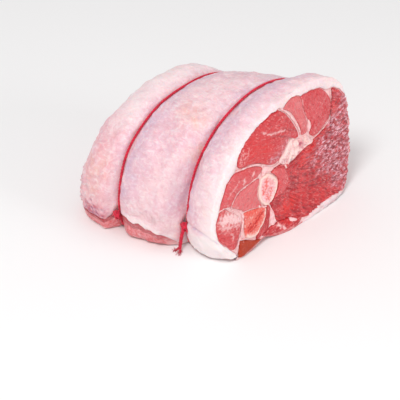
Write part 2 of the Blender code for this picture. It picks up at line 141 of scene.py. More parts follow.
# Layers of waves, each with its height, size and seed
EDGE_WAVES = ((0.25, 14.0, 3), (0.12, 4.0, 4))
FAT_LINE_WAVES = ((0.35, 5.0, 8), (0.2, 2.0, 9))
FAT_LUMPS = ((0.42, 30.0, 1), (0.26, 11.0, 2), (0.09, 4.2, 3))
RAGGED_SKIN = ((0.5, 3.0, 6), (0.5, 6.5, 7))
BARE_STRIP_WAVES = ((0.4, 10.0, 41), (0.14, 3.5, 42))
MARK_WANDER = ((0.6, 4.0, 55), (0.35, 1.6, 56))
BONE_PITS = ((0.10, 2.0, 91), (0.12, 4.5, 92))
GRISTLE_LUMPS = ((0.55, 8.0, 93), (0.3, 3.5, 94))

# Line where the fat ends on the cut face
FAT_LINE = (
    (0.0, 3.5), (-3.0, 7.0), (-7.0, 11.0), (-13.0, 17.5), (-18.0, 22.0), (-21.0, 28.0),
    (-22.3, 34.0), (-22.0, 40.0), (-20.0, 44.5), (-17.0, 50.0), (-14.0, 56.0), (-11.0, 60.5),
    (-8.0, 66.0),
    (-5.5, 69.0), (-1.5, 71.5), (2.5, 73.7), (5.5, 75.3), (7.2, 79.0), (8.7, 85.7), (14.0, 91.3),
    (24.7, 98.6), (32.7, 101.7), (43.3, 103.7), (52.0, 105.4), (60.0, 105.2), (65.0, 103.2),
    (68.3, 106.5), (72.0, 110.2), (76.0, 108.3), (80.0, 109.2), (86.0, 105.4), (97.0, 105.0),
    (106.0, 104.0), (112.0, 101.3), (116.5, 98.0), (121.0, 96.8), (126.0, 96.6), (131.0, 94.3),
    (137.0, 89.3), (142.5, 82.0),
)


# Shape functions of the joint
def smooth(low, high, value):
    """Rises from 0 at low to 1 at high with no kink."""
    t = np.clip((value - low) / (high - low), 0.0, 1.0)
    return t * t * (3.0 - 2.0 * t)


def hump(value, middle, reach):
    """Bell curve: 1 at the middle, fading over the reach."""
    return np.exp(-((value - middle) / reach) ** 2)


def read_table(table, x):
    """Columns of a table at the stations x, with straight lines between its rows."""
    table = np.asarray(table)
    return np.stack([np.interp(x, table[:, 0], table[:, k]) for k in range(1, table.shape[1])], -1)


def from_string(x):
    """Distance along x to the nearer string."""
    return np.min(np.abs(np.asarray(x)[..., None] - STRINGS), axis=-1)


def swell(x, reach):
    """Swelling between the strings: a quarter sine of the distance from a string, to a power."""
    part = np.clip((from_string(x) - SWELL_FLOOR) / reach, 0.0, 1.0)
    return np.sin(0.5 * math.pi * part) ** SWELL_POWER


def in_notch(x):
    """1 in the narrow notch that a string lies in, 0 outside it."""
    return smooth(NOTCH_HALF, FLOOR_HALF, from_string(x))


def arc(centre, reach, power, start, end, count=70):
    """Superellipse arc of every station: centre + reach * (|cos a|, |sin a|) ** (2 / power)."""
    a = np.linspace(start, end, count)
    power = power[:, None]
    y = centre[0][:, None] + reach[0][:, None] * np.abs(np.cos(a)) ** (2.0 / power)
    z = centre[1][:, None] + reach[1][:, None] * np.abs(np.sin(a)) ** (2.0 / power)
    return np.stack([y, z], -1)


def outlines(x):
    """Sections at the stations x: four superellipse arcs from the front foot to the back foot."""
    w = np.repeat(swell(x, CROWN_SWELL)[:, None], 11, axis=1)
    w[:, [0, 1, 6, 7]] = swell(x, read_table(FRONT_SWELL, x)[:, 0])[:, None]
    sizes = read_table(VALLEYS, x) * (1.0 - w) + read_table(CRESTS, x) * w
    front_y, front_z, crown_y, crown_z, back_y, back_z, foot_f, foot_b = sizes.T[:8]
    p_low, p_up, p_back = sizes.T[8:]
    base = TWINE_BASE * in_notch(x)
    top = 0.5 * math.pi
    p_foot = np.full(len(x), 2.2)
    return np.concatenate([
        arc((foot_f, front_z), (front_y - foot_f, base - front_z), p_low, top, 0.0),
        arc((crown_y, front_z), (front_y - crown_y, crown_z - front_z), p_up, 0.0, top)[:, 1:],
        arc((crown_y, back_z), (back_y - crown_y, crown_z - back_z), p_back, top, 0.0)[:, 1:],
        arc((foot_b, back_z), (back_y - foot_b, base - back_z), p_foot, 0.0, top)[:, 1:],
    ], axis=1)


def along(line):
    """Distance along a line of points."""
    return np.concatenate([[0.0], np.cumsum(np.linalg.norm(np.diff(line, axis=0), axis=1))])


def cover_fractions():
    """Columns of the fat across its width, closer together at its two rounded edges."""
    t = np.linspace(0.0, 1.0, COVER_COLUMNS)
    eased = t - 0.86 * np.sin(2.0 * math.pi * t) / (2.0 * math.pi)
    edge = np.minimum(smooth(0.0, 0.12, t), smooth(1.0, 0.88, t))
    return eased * (1.0 - edge) + t * edge


def sections(x):
    """Points and outward normals of the sections, as strip below the fat, cover and bare back."""
    lines = outlines(x)
    low = np.maximum(read_table(FRONT_EDGE, x)[:, 0] - 0.9 * smooth(-47.0, -43.0, x),
                     1.0 + 2.0 * TWINE_BASE * in_notch(x))
    high = read_table(BACK_EDGE, x)[:, 0]
    wave = layers(x[:, None], EDGE_WAVES) * smooth(0.0, -8.0, x) * smooth(-45.0, -52.0, x)
    groups = {"strip": [], "cover": [], "bare": []}
    for line, z_low, z_high, shift in zip(lines, low, high, wave):
        run = along(line)
        tangent = np.gradient(line, run, axis=0)
        normal = np.stack([-tangent[:, 1], tangent[:, 0]], 1)
        top = int(np.argmax(line[:, 1]))
        s_low = np.interp(z_low, line[:top, 1], run[:top]) + shift
        s_high = np.interp(-z_high, -line[top:, 1], run[top:])
        spans = {
            "strip": np.linspace(0.0, s_low - 0.4, STRIP_COLUMNS),
            "cover": s_low + (s_high - s_low) * cover_fractions(),
            "bare": np.linspace(s_high + 0.4, run[-1], BARE_COLUMNS),
        }
        for name, s in spans.items():
            point = [np.interp(s, run, line[:, k]) for k in (0, 1)]
            out = np.stack([np.interp(s, run, normal[:, k]) for k in (0, 1)], 1)
            out /= np.linalg.norm(out, axis=1, keepdims=True)
            groups[name].append(np.column_stack([*point, out]))
    return {name: (np.array(rows)[..., :2], np.array(rows)[..., 2:])
            for name, rows in groups.items()}


def fat_thickness(x):
    """Thickness of the fat at each station and cover column."""
    crown = CROWN_FAT - (CROWN_FAT - FLANK_FAT) * smooth(0.0, -60.0, x)
    marks = (0.0, 0.06, 0.3, 0.55, 0.78, 0.92, 1.0)
    return np.array([
        np.interp(cover_fractions(), marks,
                  (EDGE_FAT, FLANK_FAT, FLANK_FAT, c, c + SHOULDER_FAT, c, EDGE_FAT))
        for c in crown])


def lip(y, z):
    """Bulge of the lower back of the cut face, fading upwards as a square."""
    across = smooth(34.0, 62.0, y) * smooth(142.0, 124.0, y)
    return LIP * across * np.clip(1.0 - z / 30.0, 0.0, 1.0) ** 2


def place(x, yz):
    """Section points in space: stations near the cut face lean back with it."""
    y, z = yz[..., 0], yz[..., 1]
    lean = np.clip((x + TILT_REACH) / TILT_REACH, 0.0, None)
    return np.stack([x - z * TILT * lean + lip(y, z) * lean ** 2, y, z], -1)


def to_part(points):
    """Millimetres of the joint to metres in the frame of the solids."""
    return (np.asarray(points) + JOINT_SHIFT) * MM


# Curves and noise
def waves(points, size, seed, count=14):
    """Smooth noise of unit strength: a sum of sines of random direction, about size long."""
    rng = np.random.default_rng(seed)
    points = np.asarray(points, float)
    way = rng.normal(size=(count, points.shape[-1]))
    way /= np.linalg.norm(way, axis=1, keepdims=True)
    way *= (2.0 * math.pi / size * rng.uniform(0.6, 1.5, count))[:, None]
    start = rng.uniform(0.0, 2.0 * math.pi, count)
    return np.sin(points @ way.T + start).sum(-1) * math.sqrt(2.0 / count)


def layers(points, rows):
    """Sum of waves, each row giving their height, size and seed."""
    return sum(height * waves(points, size, seed) for height, size, seed in rows)


def even(line, count, closed=False):
    """Points at even distances along a line."""
    if closed:
        line = np.concatenate([line, line[:1]])
    run = along(line)
    s = np.linspace(0.0, run[-1], count + 1)[:-1] if closed else np.linspace(0.0, run[-1], count)
    return np.stack([np.interp(s, run, line[:, k]) for k in range(line.shape[1])], 1)


def curve(points, count, closed=False):
    """Even points on the Catmull-Rom curve through the given points."""
    p = np.asarray(points, float)
    if closed:
        p = np.concatenate([p[-1:], p, p[:2]])
    else:
        p = np.concatenate([2.0 * p[:1] - p[1:2], p, 2.0 * p[-1:] - p[-2:-1]])
    a, b, c, d = p[:-3, None], p[1:-2, None], p[2:-1, None], p[3:, None]
    t = np.linspace(0.0, 1.0, 14, endpoint=False)[None, :, None]
    line = 0.5 * (2.0 * b + (c - a) * t + (2.0 * a - 5.0 * b + 4.0 * c - d) * t ** 2
                  + (3.0 * b - a - 3.0 * c + d) * t ** 3)
    line = line.reshape(-1, p.shape[1])
    if not closed:
        line = np.concatenate([line, p[-2:-1]])
    return even(line, count, closed)


def line_distance(points, path):
    """Distance from points to a path, and on which side of it they lie."""
    path = np.asarray(path, float)
    best, side = np.full(points.shape[:-1], np.inf), np.zeros(points.shape[:-1])
    for a, b in zip(path[:-1], path[1:]):
        way = b - a
        t = np.clip((points - a) @ way / (way @ way), 0.0, 1.0)
        off = points - a - t[..., None] * way
        far = np.linalg.norm(off, axis=-1)
        nearer = far < best
        best = np.where(nearer, far, best)
        side = np.where(nearer, np.sign(way[0] * off[..., 1] - way[1] * off[..., 0]), side)
    return best, side


def grid_normals(grid):
    """Outward normals of a grid of points, from the slopes along its rows and columns."""
    normal = np.cross(np.gradient(grid, axis=0), np.gradient(grid, axis=1))
    length = np.linalg.norm(normal, axis=-1, keepdims=True)
    return normal / np.maximum(length, 1e-9)


# Meshes
def quads(rows, columns, start=0, closed=False, flip=False):
    """Faces of a grid whose points run row by row; a closed one joins its last column to the
    first."""
    i = np.arange(rows - 1)[:, None] * columns
    j = np.arange(columns if closed else columns - 1)
    k = (j + 1) % columns
    faces = np.stack([i + j, i + k, i + columns + k, i + columns + j], -1).reshape(-1, 4) + start
    return (faces[:, ::-1] if flip else faces).tolist()


def fan(hub, ring, flip=False):
    """Triangles from a hub to a closed ring of points."""
    ring = np.asarray(ring)
    pairs = np.stack([np.full(len(ring), hub), ring, np.roll(ring, -1)], -1)
    return (pairs[:, ::-1] if flip else pairs).tolist()


def add_mesh(name, points, faces, material, **attributes):
    """New object from points in millimetres of the joint; each attribute has a number per point."""
    mesh = bpy.data.meshes.new(name)
    mesh.from_pydata(to_part(points).tolist(), [], faces)
    for key, values in attributes.items():
        layer = mesh.attributes.new(key, "FLOAT", "POINT")
        layer.data.foreach_set("value", np.ascontiguousarray(values, dtype=np.float32).ravel())
    mesh.shade_smooth()
    mesh.materials.append(material)
    piece = bpy.data.objects.new(name, mesh)
    bpy.context.scene.collection.objects.link(piece)
    return piece


def finish_piece(piece, node):
    """Piece that moves with the joint and stands for a solid, which is hidden."""
    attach(piece, "root")
    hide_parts(node)


# Materials
def tint(red, green, blue):
    """Screen colour, 0 to 255, as the linear colour that the shaders use."""
    c = np.array([red, green, blue]) / 255.0
    linear = np.where(c <= 0.04045, c / 12.92, ((c + 0.055) / 1.055) ** 2.4)
    return tuple(float(v) for v in linear)


class Finish:
    """Short way of writing a material: each method adds one node and gives its output."""

    def __init__(self, name, roughness, **fixed):
        """New material whose shader has the fixed values, with _ for a space in a socket's name."""
        self.material = bpy.data.materials.new(name)
        self.material.use_nodes = True
        self.tree = self.material.node_tree
        self.shader = self.tree.nodes["Principled BSDF"]
        self.shader.inputs["Roughness"].default_value = roughness
        for key, value in fixed.items():
            self.shader.inputs[key.replace("_", " ")].default_value = value
        self.place = self.add("ShaderNodeTexCoord").outputs["Object"]

    def add(self, kind, *links, **settings):
        """Adds a node with its settings; a link is an input and the socket or value for it."""
        node = self.tree.nodes.new(kind)
        for key, value in settings.items():
            setattr(node, key, value)
        for socket, value in links:
            if isinstance(value, bpy.types.NodeSocket):
                self.tree.links.new(value, node.inputs[socket])
            elif value is not None:
                node.inputs[socket].default_value = value
        return node

    def stretched(self, turn, reach):
        """Place, turned about x by an angle in degrees and stretched along its new axes."""
        node = self.add("ShaderNodeMapping", ("Vector", self.place), vector_type="TEXTURE")
        node.inputs["Rotation"].default_value = (math.radians(turn), 0.0, 0.0)
        node.inputs["Scale"].default_value = reach
        return node.outputs["Vector"]

    def noise(self, size, where=None, detail=2.0, twist=0.0):
        """Cloudy noise whose patches are about size millimetres."""
        node = self.add("ShaderNodeTexNoise", ("Vector", where or self.place),
                        ("Scale", 1.0 / (size * MM)), ("Detail", detail), ("Distortion", twist))
        return node.outputs["Fac"]

    def spread(self, value, low, high, to_low=0.0, to_high=1.0):
        """Value between low and high mapped to a new span, held at its ends."""
        node = self.add("ShaderNodeMapRange", (0, value), (1, low), (2, high), (3, to_low),
                        (4, to_high), interpolation_type="SMOOTHSTEP")
        return node.outputs[0]

    def mark(self, name):
        """Number that the mesh holds at each point."""
        return self.add("ShaderNodeAttribute", attribute_name=name).outputs["Fac"]

    def maths(self, operation, a, b):
        """One step of arithmetic on sockets or numbers."""
        return self.add("ShaderNodeMath", (0, a), (1, b), operation=operation).outputs[0]

    def mix(self, share, first, second):
        """Blend of two colours, each an RGB tuple or a socket."""
        first, second = (c if isinstance(c, bpy.types.NodeSocket) else (*c, 1.0)
                         for c in (first, second))
        node = self.add("ShaderNodeMix", (0, share), (6, first), (7, second), data_type="RGBA")
        return node.outputs[2]

    def line(self, cloud, width, core=0.0):
        """Thin line where a noise passes its middle value: 1 within the core, 0 past the width."""
        off = self.maths("ABSOLUTE", self.maths("SUBTRACT", cloud, 0.5), 0.0)
        return self.spread(off, width, core)

    def colour(self, share, first, second):
        """Gives the surface a blend of two colours."""
        self.skin = self.mix(share, first, second)
        self.tree.links.new(self.skin, self.shader.inputs["Base Color"])

    def over(self, share, tone):
        """Lays a tone over the colour so far, by a share."""
        self.colour(share, self.skin, tone)

    def bump(self, height, depth, under=None):
        """Bump of depth millimetres, on top of another bump."""
        node = self.add("ShaderNodeBump", ("Height", height), ("Normal", under),
                        ("Distance", depth * MM))
        self.tree.links.new(node.outputs[0], self.shader.inputs["Normal"])
        return node.outputs[0]


SKIN_SCATTER = (1.0, 0.35, 0.25)


def fat_finish(fat):
    """Pink-white fat: cloudy pink and cream, lavender painted shade in the valleys, veins, painted
    shade in fold troughs and fine streaks.
    """
    finish = Finish("lamb_fat", 0.46, Coat_Weight=0.15, Coat_Roughness=0.25,
                    Specular_IOR_Level=0.35, Subsurface_Weight=0.25,
                    Subsurface_Radius=SKIN_SCATTER, Subsurface_Scale=0.003)
    broad = finish.spread(finish.noise(30.0, detail=3.0, twist=0.6), 0.38, 0.62)
    finish.colour(broad, fat.pink, fat.cream)
    # Lavender painted shade in the valleys beside the strings and in the crease, a little weaker on
    # the cream clouds
    shade = finish.maths("MULTIPLY", finish.mark("valley"),
                         finish.spread(broad, 0.0, 1.0, 1.0, 0.7))
    finish.over(shade, fat.lavender)
    finish.over(finish.mark("pink"), fat.rosy)
    finish.over(finish.mark("peach"), fat.peach)
    small = finish.noise(4.5, detail=4.0, twist=1.0)
    finish.over(finish.spread(small, 0.50, 0.68, 0.0, 0.35), fat.white)
    finish.over(finish.spread(small, 0.46, 0.32, 0.0, 0.22), fat.vein)
    streaks = finish.noise(1.8, finish.stretched(0.0, (2.4, 1.0, 1.0)), detail=4.0, twist=0.8)
    finish.over(finish.spread(streaks, 0.52, 0.68, 0.0, 0.35), fat.white)
    finish.over(finish.spread(streaks, 0.46, 0.34, 0.0, 0.14), fat.vein)
    finish.over(finish.mark("white"), fat.white)
    threads = finish.noise(13.0, finish.stretched(24.0, (2.0, 1.0, 1.0)), twist=1.5)
    breaks = finish.spread(finish.noise(5.0), 0.48, 0.60)
    faint = finish.maths("MULTIPLY", finish.line(threads, 0.012),
                         finish.maths("MULTIPLY", breaks, 0.2))
    finish.over(faint, fat.vein)
    # Veins, with painted shade in the troughs of the folds
    finish.over(finish.mark("vein"), fat.vein)
    patches = finish.spread(finish.noise(3.0, detail=3.0, twist=1.0), 0.42, 0.6)
    purple = finish.mix(patches, fat.membrane, fat.raw)
    finish.over(finish.mark("membrane"), purple)
    rough = finish.bump(finish.noise(4.5, detail=3.0, twist=0.8), 0.5)
    finish.bump(streaks, 0.35, rough)
    return finish.material


# Kinds of lean meat: its two colours, how far the grain is drawn out, its flecks and its wetness
LEAN_KINDS = {
    "red": {"deep": "crimson", "light": "red", "streak": 2.6},
    "rose": {"deep": "red", "light": "rose", "streak": 2.6},
    "salmon": {"deep": "rose", "light": "salmon", "streak": 1.6},
    "brick": {"deep": "crimson", "light": "rose", "streak": 1.6},
    "coarse": {"deep": "deep", "light": "red", "streak": 4.0, "coarse": True},
    "smooth": {"deep": "red", "light": "rose", "streak": 3.0},
    "russet": {"deep": "russet", "light": "russet", "streak": 1.2, "fleck": 0.12, "wet": 0.1},
    "dark": {"deep": "deep", "light": "red", "streak": 3.0},
    "side": {"deep": "rose", "light": "blush", "streak": 1.0, "fleck": 0.35},
}


def lean_finish(name, lean, turn, deep, light, streak, fleck=0.65, coarse=False, wet=0.5):
    """Moist lean meat between a deep and a light colour: grain drawn out along fibres that slope by
    the turn, pale flecks, thin marbling, painted shade in clefts and seams, and torn skin where the
    mesh is marked with glint: painted shade in the gaps between its flaps, and on the flaps pale
    purple-pink skin, brightened as a painted highlight."""
    finish = Finish(name, 0.40, Coat_Weight=wet, Coat_Roughness=0.12,
                    Specular_IOR_Level=0.6 * wet, Subsurface_Weight=0.15,
                    Subsurface_Radius=SKIN_SCATTER, Subsurface_Scale=0.002)
    fibres = finish.stretched(turn, (1.0, streak, 1.0))
    broad = finish.spread(finish.noise(13.0, detail=3.0), 0.38, 0.62)
    grain = finish.noise(1.7, fibres, detail=4.0, twist=0.5)
    tone = finish.maths("ADD", finish.maths("MULTIPLY", broad, 0.35),
                        finish.spread(grain, 0.40, 0.60, 0.0, 0.65))
    finish.colour(tone, getattr(lean, deep), getattr(lean, light))
    specks = finish.spread(finish.noise(1.3, fibres, detail=2.0), 0.58, 0.70)
    finish.over(finish.maths("MULTIPLY", specks, fleck), lean.fleck)
    dark = finish.noise(1.9, fibres, detail=4.0, twist=0.8)
    depth = 0.65 if coarse else 0.4
    finish.over(finish.spread(dark, 0.45, 0.28, 0.0, depth), lean.shadow)
    marbling = finish.noise(9.0, finish.stretched(turn + 12.0, (1.0, 1.8, 1.0)), twist=2.2)
    breaks = finish.spread(finish.noise(16.0), 0.48, 0.60, 0.0, 0.4)
    marbling = finish.maths("MULTIPLY", finish.line(marbling, 0.012, 0.002), breaks)
    finish.over(marbling, lean.fascia)
    finish.over(finish.mark("vivid"), lean.vivid)
    # Painted shade where the mesh is marked: clefts, seams, hollows and the strip below the fat
    finish.over(finish.mark("hollow"), lean.shadow)
    flaps = finish.stretched(9.0 if coarse else turn, (1.0, 3.0, 1.0))
    torn = finish.noise(1.9, flaps, detail=3.0, twist=0.6)
    # Torn flaps: painted shade in the gaps between them
    dark = finish.maths("MULTIPLY", finish.mark("glint"), finish.spread(torn, 0.46, 0.38))
    finish.over(dark, lean.shadow)
    # Pale purple-pink skin on the flaps, partly painted highlight
    skin = finish.maths("MULTIPLY", finish.mark("glint"),
                        finish.spread(torn, 0.45, 0.55, 0.25, 1.0))
    finish.over(skin, lean.glint)
    finish.over(finish.mark("pale"), lean.fascia)
    soft = finish.bump(dark if coarse else grain, 0.9 if coarse else 0.5)
    finish.bump(finish.noise(1.1, fibres, detail=2.0), 0.4, soft)
    return finish.material


def pale_finish(name, light, dark, size=3.0, gloss=0.38):
    """Pale connective tissue or gristle, cloudy between two colours."""
    finish = Finish(name, gloss, Coat_Weight=0.3, Coat_Roughness=0.15, Specular_IOR_Level=0.35,
                    Subsurface_Weight=0.2, Subsurface_Radius=SKIN_SCATTER, Subsurface_Scale=0.002)
    cloud = finish.spread(finish.noise(size, detail=3.0, twist=0.8), 0.44, 0.66, 0.0, 0.7)
    finish.colour(cloud, light, dark)
    finish.over(finish.mark("pale"), light)
    # Painted shade where the mesh is marked, in the dark colour
    finish.over(finish.mark("hollow"), dark)
    finish.bump(finish.noise(1.3, detail=3.0), 0.3)
    return finish.material


def bone_finish(name, bone, inside, streak):
    """Sawn bone: cream rim, pink inside with darker pores, and streaks of blood."""
    finish = Finish(name, 0.42, Coat_Weight=0.25, Coat_Roughness=0.18, Specular_IOR_Level=0.35,
                    Subsurface_Weight=0.15, Subsurface_Radius=SKIN_SCATTER, Subsurface_Scale=0.002)
    pores = finish.noise(1.6, detail=4.0)
    cloud = finish.spread(finish.noise(5.0, detail=3.0, twist=1.0), 0.44, 0.68, 0.0, 0.6)
    finish.colour(cloud, inside, streak)
    finish.over(finish.spread(pores, 0.54, 0.66, 0.0, 0.4), bone.pore)
    finish.over(finish.spread(pores, 0.48, 0.36, 0.0, 0.5), bone.rim)
    finish.over(finish.mark("flush"), bone.flush)
    finish.over(finish.mark("rim"), bone.rim)
    finish.over(finish.mark("blood"), bone.blood)
    finish.bump(pores, 0.5)
    return finish.material


def twine_finish(twine):
    """Red cotton strands with fine fibres and a dull sheen."""
    finish = Finish("lamb_twine", 0.78, Sheen_Weight=0.35, Sheen_Roughness=0.5)
    cloud = finish.spread(finish.noise(3.0, detail=3.0), 0.35, 0.65)
    finish.colour(cloud, twine.colour, twine.light)
    # Painted shade between the strands
    finish.over(finish.mark("hollow"), twine.dark)
    finish.bump(finish.noise(0.5, detail=2.0), 0.12)
    return finish.material


# Fat cover. Crease and veins as (x, z) paths, a vein led by its strength; peach spots as x, y, z
# and reach
CREASE = ((-41.0, 23.0), (-35.0, 27.5), (-28.0, 30.5), (-20.7, 31.9), (-14.2, 31.5), (-8.8, 29.9),
          (-5.0, 27.0), (-3.0, 22.0))
VEINS = (
    (0.3, ((-78.0, 98.6), (-74.0, 100.7), (-69.9, 101.2), (-61.4, 100.6), (-56.0, 102.0))),
    (0.5, ((-125.0, 58.5), (-127.0, 51.3), (-126.2, 45.0), (-121.0, 44.1), (-111.8, 47.0))),
    (0.35, ((-118.0, 66.0), (-121.0, 58.0), (-126.2, 50.5))),
    (0.2, ((-92.0, 84.0), (-86.0, 88.0), (-79.0, 90.0))),
)
PEACH = ((-65.8, 16.7, 99.3, 9.0), (-57.4, 13.1, 97.1, 10.0), (-46.0, 3.0, 76.0, 9.0),
         (-10.0, -22.0, 49.0, 7.0), (-12.0, 122.0, 100.0, 8.0), (-13.0, 66.0, 106.0, 6.0),
         (-118.0, -36.0, 50.0, 13.0), (-116.0, -38.0, 34.0, 9.0))
# Height of each knot, how far it stands out, and the dent that it leaves in the fat
KNOTS = {LEFT_STRING_X: 16.0, RIGHT_STRING_X: 20.0}
KNOT_OUT = 3.3
KNOT_DENT = 1.6
# Width of the fat across its columns, and how far in its edges are rounded
COVER_WIDTH = 250.0
COVER_ROUND = 2.4
CUT_SINK = 0.7


def fat_line(count):
    """The line where the fat ends on the cut face, with its small wobbles."""
    line = curve(FAT_LINE, count)
    line[:, 1] *= math.cos(math.atan(TILT))
    away = line - FACE_CENTRE
    away /= np.linalg.norm(away, axis=1, keepdims=True)
    return line + away * layers(line, FAT_LINE_WAVES)[:, None]


def inner_fat(x, points, normals):
    """Inner side of the fat: skin less its thickness, drawn to the fat's line at the cut face."""
    inner = points - normals * fat_thickness(x)[..., None]
    line = fat_line(900)
    nearest = np.argmin(np.linalg.norm(inner[-1][:, None] - line, axis=-1), axis=1)
    nearest[0], nearest[-1] = 0, len(line) - 1
    rim = line[np.maximum.accumulate(nearest)]
    rim = 0.25 * np.roll(rim, 1, 0) + 0.5 * rim + 0.25 * np.roll(rim, -1, 0)
    rim[0], rim[-1] = line[0], line[-1]
    share = smooth(-14.0, -1.0, x)[:, None, None]
    return inner * (1.0 - share) + rim * share


def stations(step):
    """Places along the joint: even steps, closer beside the strings and at the cut edge."""
    x = [np.arange(CAP_X, -RIM_ROUND, step), -RIM_ROUND + RIM_ROUND * np.linspace(0.0, 1.0, 7)]
    for string_x in STRINGS:
        x.append(string_x + np.linspace(-4.5, 4.5, 21))
    x = np.unique(np.round(np.concatenate(x), 3))
    return x[np.concatenate([[True], np.diff(x) > 0.2])]


def cap_depths():
    """Depths into the left cap, from its pole to its start, and its scales of width and height."""
    deep = np.sin(np.linspace(0.5 * math.pi, 0.0, CAP_ROWS + 2)[1:-1]) ** 0.9
    return deep, np.stack([(1.0 - deep ** p) ** (1.0 / p) for p in CAP_POWERS], 1)


def with_cap(x, yz, end, near_end=1.0):
    """Rows of the body led by the rows of the cap: the first section shrunk towards a pole that
    lies end short of the cap's full length, where near_end is 1."""
    deep, scales = cap_depths()
    small = CAP_CENTRE + (yz[0] - CAP_CENTRE) * scales[:, None, :]
    cap_x = CAP_X - (CAP_LENGTH - end * near_end) * deep[:, None] * np.ones(yz.shape[1])
    return np.concatenate([np.concatenate([cap_x[..., None], small], -1), place(x[:, None], yz)])


def knot_middle(string_x):
    """Middle of a knot, just outside the string where the string passes its height."""
    line = outlines(np.array([string_x]))[0]
    k = int(np.argmax(line[:, 1] > KNOTS[string_x]))
    return np.array([string_x, line[k, 0] - KNOT_OUT, line[k, 1]])


def wrinkles(grid):
    """Shallow folds low on the middle bulge: a wavering sine, falling to the right."""
    x, z = grid[..., 0], grid[..., 2]
    share = smooth(-94.0, -86.0, x) * smooth(-46.0, -56.0, x) * smooth(46.0, 30.0, z)
    share = share * smooth(1.0, 8.0, z - read_table(FRONT_EDGE, x)[..., 0])
    return share * np.sin(2.0 * math.pi * (z + 0.22 * x + 1.8 * waves(grid, 16.0, 5)) / 3.8)


def fat_relief(grid):
    """Height of the fat over its plain form: soft lumps, wrinkles, a low roll beside each string,
    ragged skin at the left end, and the crease by the right knot with the roll below it."""
    x, z = grid[..., 0], grid[..., 2]
    front = smooth(40.0, 10.0, grid[..., 1])
    lumps = layers(grid, FAT_LUMPS)
    folds = 0.45 * (front * wrinkles(grid))
    away, side = line_distance(np.stack([x, z], -1), CREASE)
    right = front * smooth(RIGHT_STRING_X + 1.0, RIGHT_STRING_X + 6.0, x)
    roll = hump(np.where(side < 0, away, 30.0), 6.0, 4.5)
    crease = right * (1.4 * hump(away, 0.0, 1.3) - 0.9 * roll)
    beside = 0.5 * hump(from_string(x), 4.0, 1.7)
    ragged = smooth(-114.0, -127.0, x) * smooth(60.0, 25.0, z) * layers(grid, RAGGED_SKIN)
    calm = smooth(0.6, 3.0, from_string(x))
    return (lumps + folds + beside + ragged) * calm - crease


def knot_dents(grid):
    """Depth of the soft round dents that the knots press into the fat."""
    depth = 0.0
    for string_x in STRINGS:
        away = (grid - knot_middle(string_x)) / np.array([5.5, 30.0, 6.5])
        depth = depth + KNOT_DENT * np.exp(-np.sum(away ** 2, axis=-1))
    return depth


def fat_marks(grid):
    """Numbers at each point that the fat's material reads: lavender painted shade right of the
    strings and in the crease, veins with painted shade in the troughs of the wrinkles, the pink and
    peach of the left bulge, thin skin, and white edges with a painted highlight on top of the left
    bulge."""
    x, y, z = np.moveaxis(grid, -1, 0)
    side_view = np.stack([x, z], -1)
    front = smooth(60.0, 30.0, y)
    past = x - STRINGS[:, None, None]
    right_of = np.minimum(smooth(0.0, 3.0, past).max(0), 1.0)
    near = np.exp(-np.min(np.abs(past - 5.0), axis=0) / 9.0)
    # Painted shade: lavender where the fat dips beside a string, stronger on its right, and along
    # the crease
    valley = 0.95 * near * (0.4 + 0.6 * right_of)
    valley = valley * smooth(20.0, 45.0, z) * smooth(0.5, 2.0, from_string(x))
    crease = 0.9 * hump(line_distance(side_view, CREASE)[0], 0.0, 1.4)
    crease = crease * smooth(RIGHT_STRING_X, RIGHT_STRING_X + 3.0, x) * front
    valley = np.maximum(valley, crease)
    vein = np.zeros_like(x)
    for strength, path in VEINS:
        vein = np.maximum(vein, strength * hump(line_distance(side_view, path)[0], 0.0, 0.8))
    # Painted shade in the troughs of the wrinkles, in the vein colour
    vein = np.maximum(vein, 0.3 * smooth(0.35, 1.0, -wrinkles(grid)))
    pink = 0.55 * smooth(-100.0, -108.0, x) * smooth(95.0, 60.0, z)
    pink = pink * (1.0 + 0.4 * waves(grid, 14.0, 26))
    peach = np.zeros_like(x)
    for px, py, pz, reach in PEACH:
        away = np.linalg.norm(grid - np.array([px, py, pz]), axis=-1)
        peach = np.maximum(peach, 0.6 * np.exp(-(away / reach) ** 2))
    membrane = smooth(23.0, 18.0, z + 1.6 * waves(grid, 6.0, 21))
    membrane = membrane * smooth(-101.0, -107.0, x) * front
    membrane = membrane * (0.8 + 0.35 * waves(grid, 4.0, 22)) * smooth(-132.0, -124.0, x)
    membrane = membrane * (1.0 - hump(np.hypot(x + 107.0, z - 17.5), 0.0, 2.6))
    white = smooth(-24.0, -5.0, x) + smooth(-42.0, -34.0, x) * smooth(31.0, 24.0, z) * front
    hem = z - read_table(FRONT_EDGE, x)[..., 0] + 1.5 * waves(grid, 9.0, 25)
    white = white + 0.7 * smooth(9.0, 2.0, hem) * smooth(-95.0, -88.0, x) * front
    # Painted highlight: the top of the left bulge is whitened
    white = white + 0.55 * smooth(-100.0, -108.0, x) * smooth(78.0, 94.0, z)
    return {
        "valley": np.clip(valley * (1.0 + 0.3 * waves(grid, 12.0, 23)), 0.0, 1.0),
        "vein": vein * front,
        "pink": np.clip(pink, 0.0, 0.8),
        "peach": np.clip(peach * (1.0 + 0.4 * waves(grid, 8.0, 24)), 0.0, 1.0),
        "membrane": np.clip(membrane, 0.0, 0.9),
        "white": np.clip(0.85 * white, 0.0, 0.92),
    }


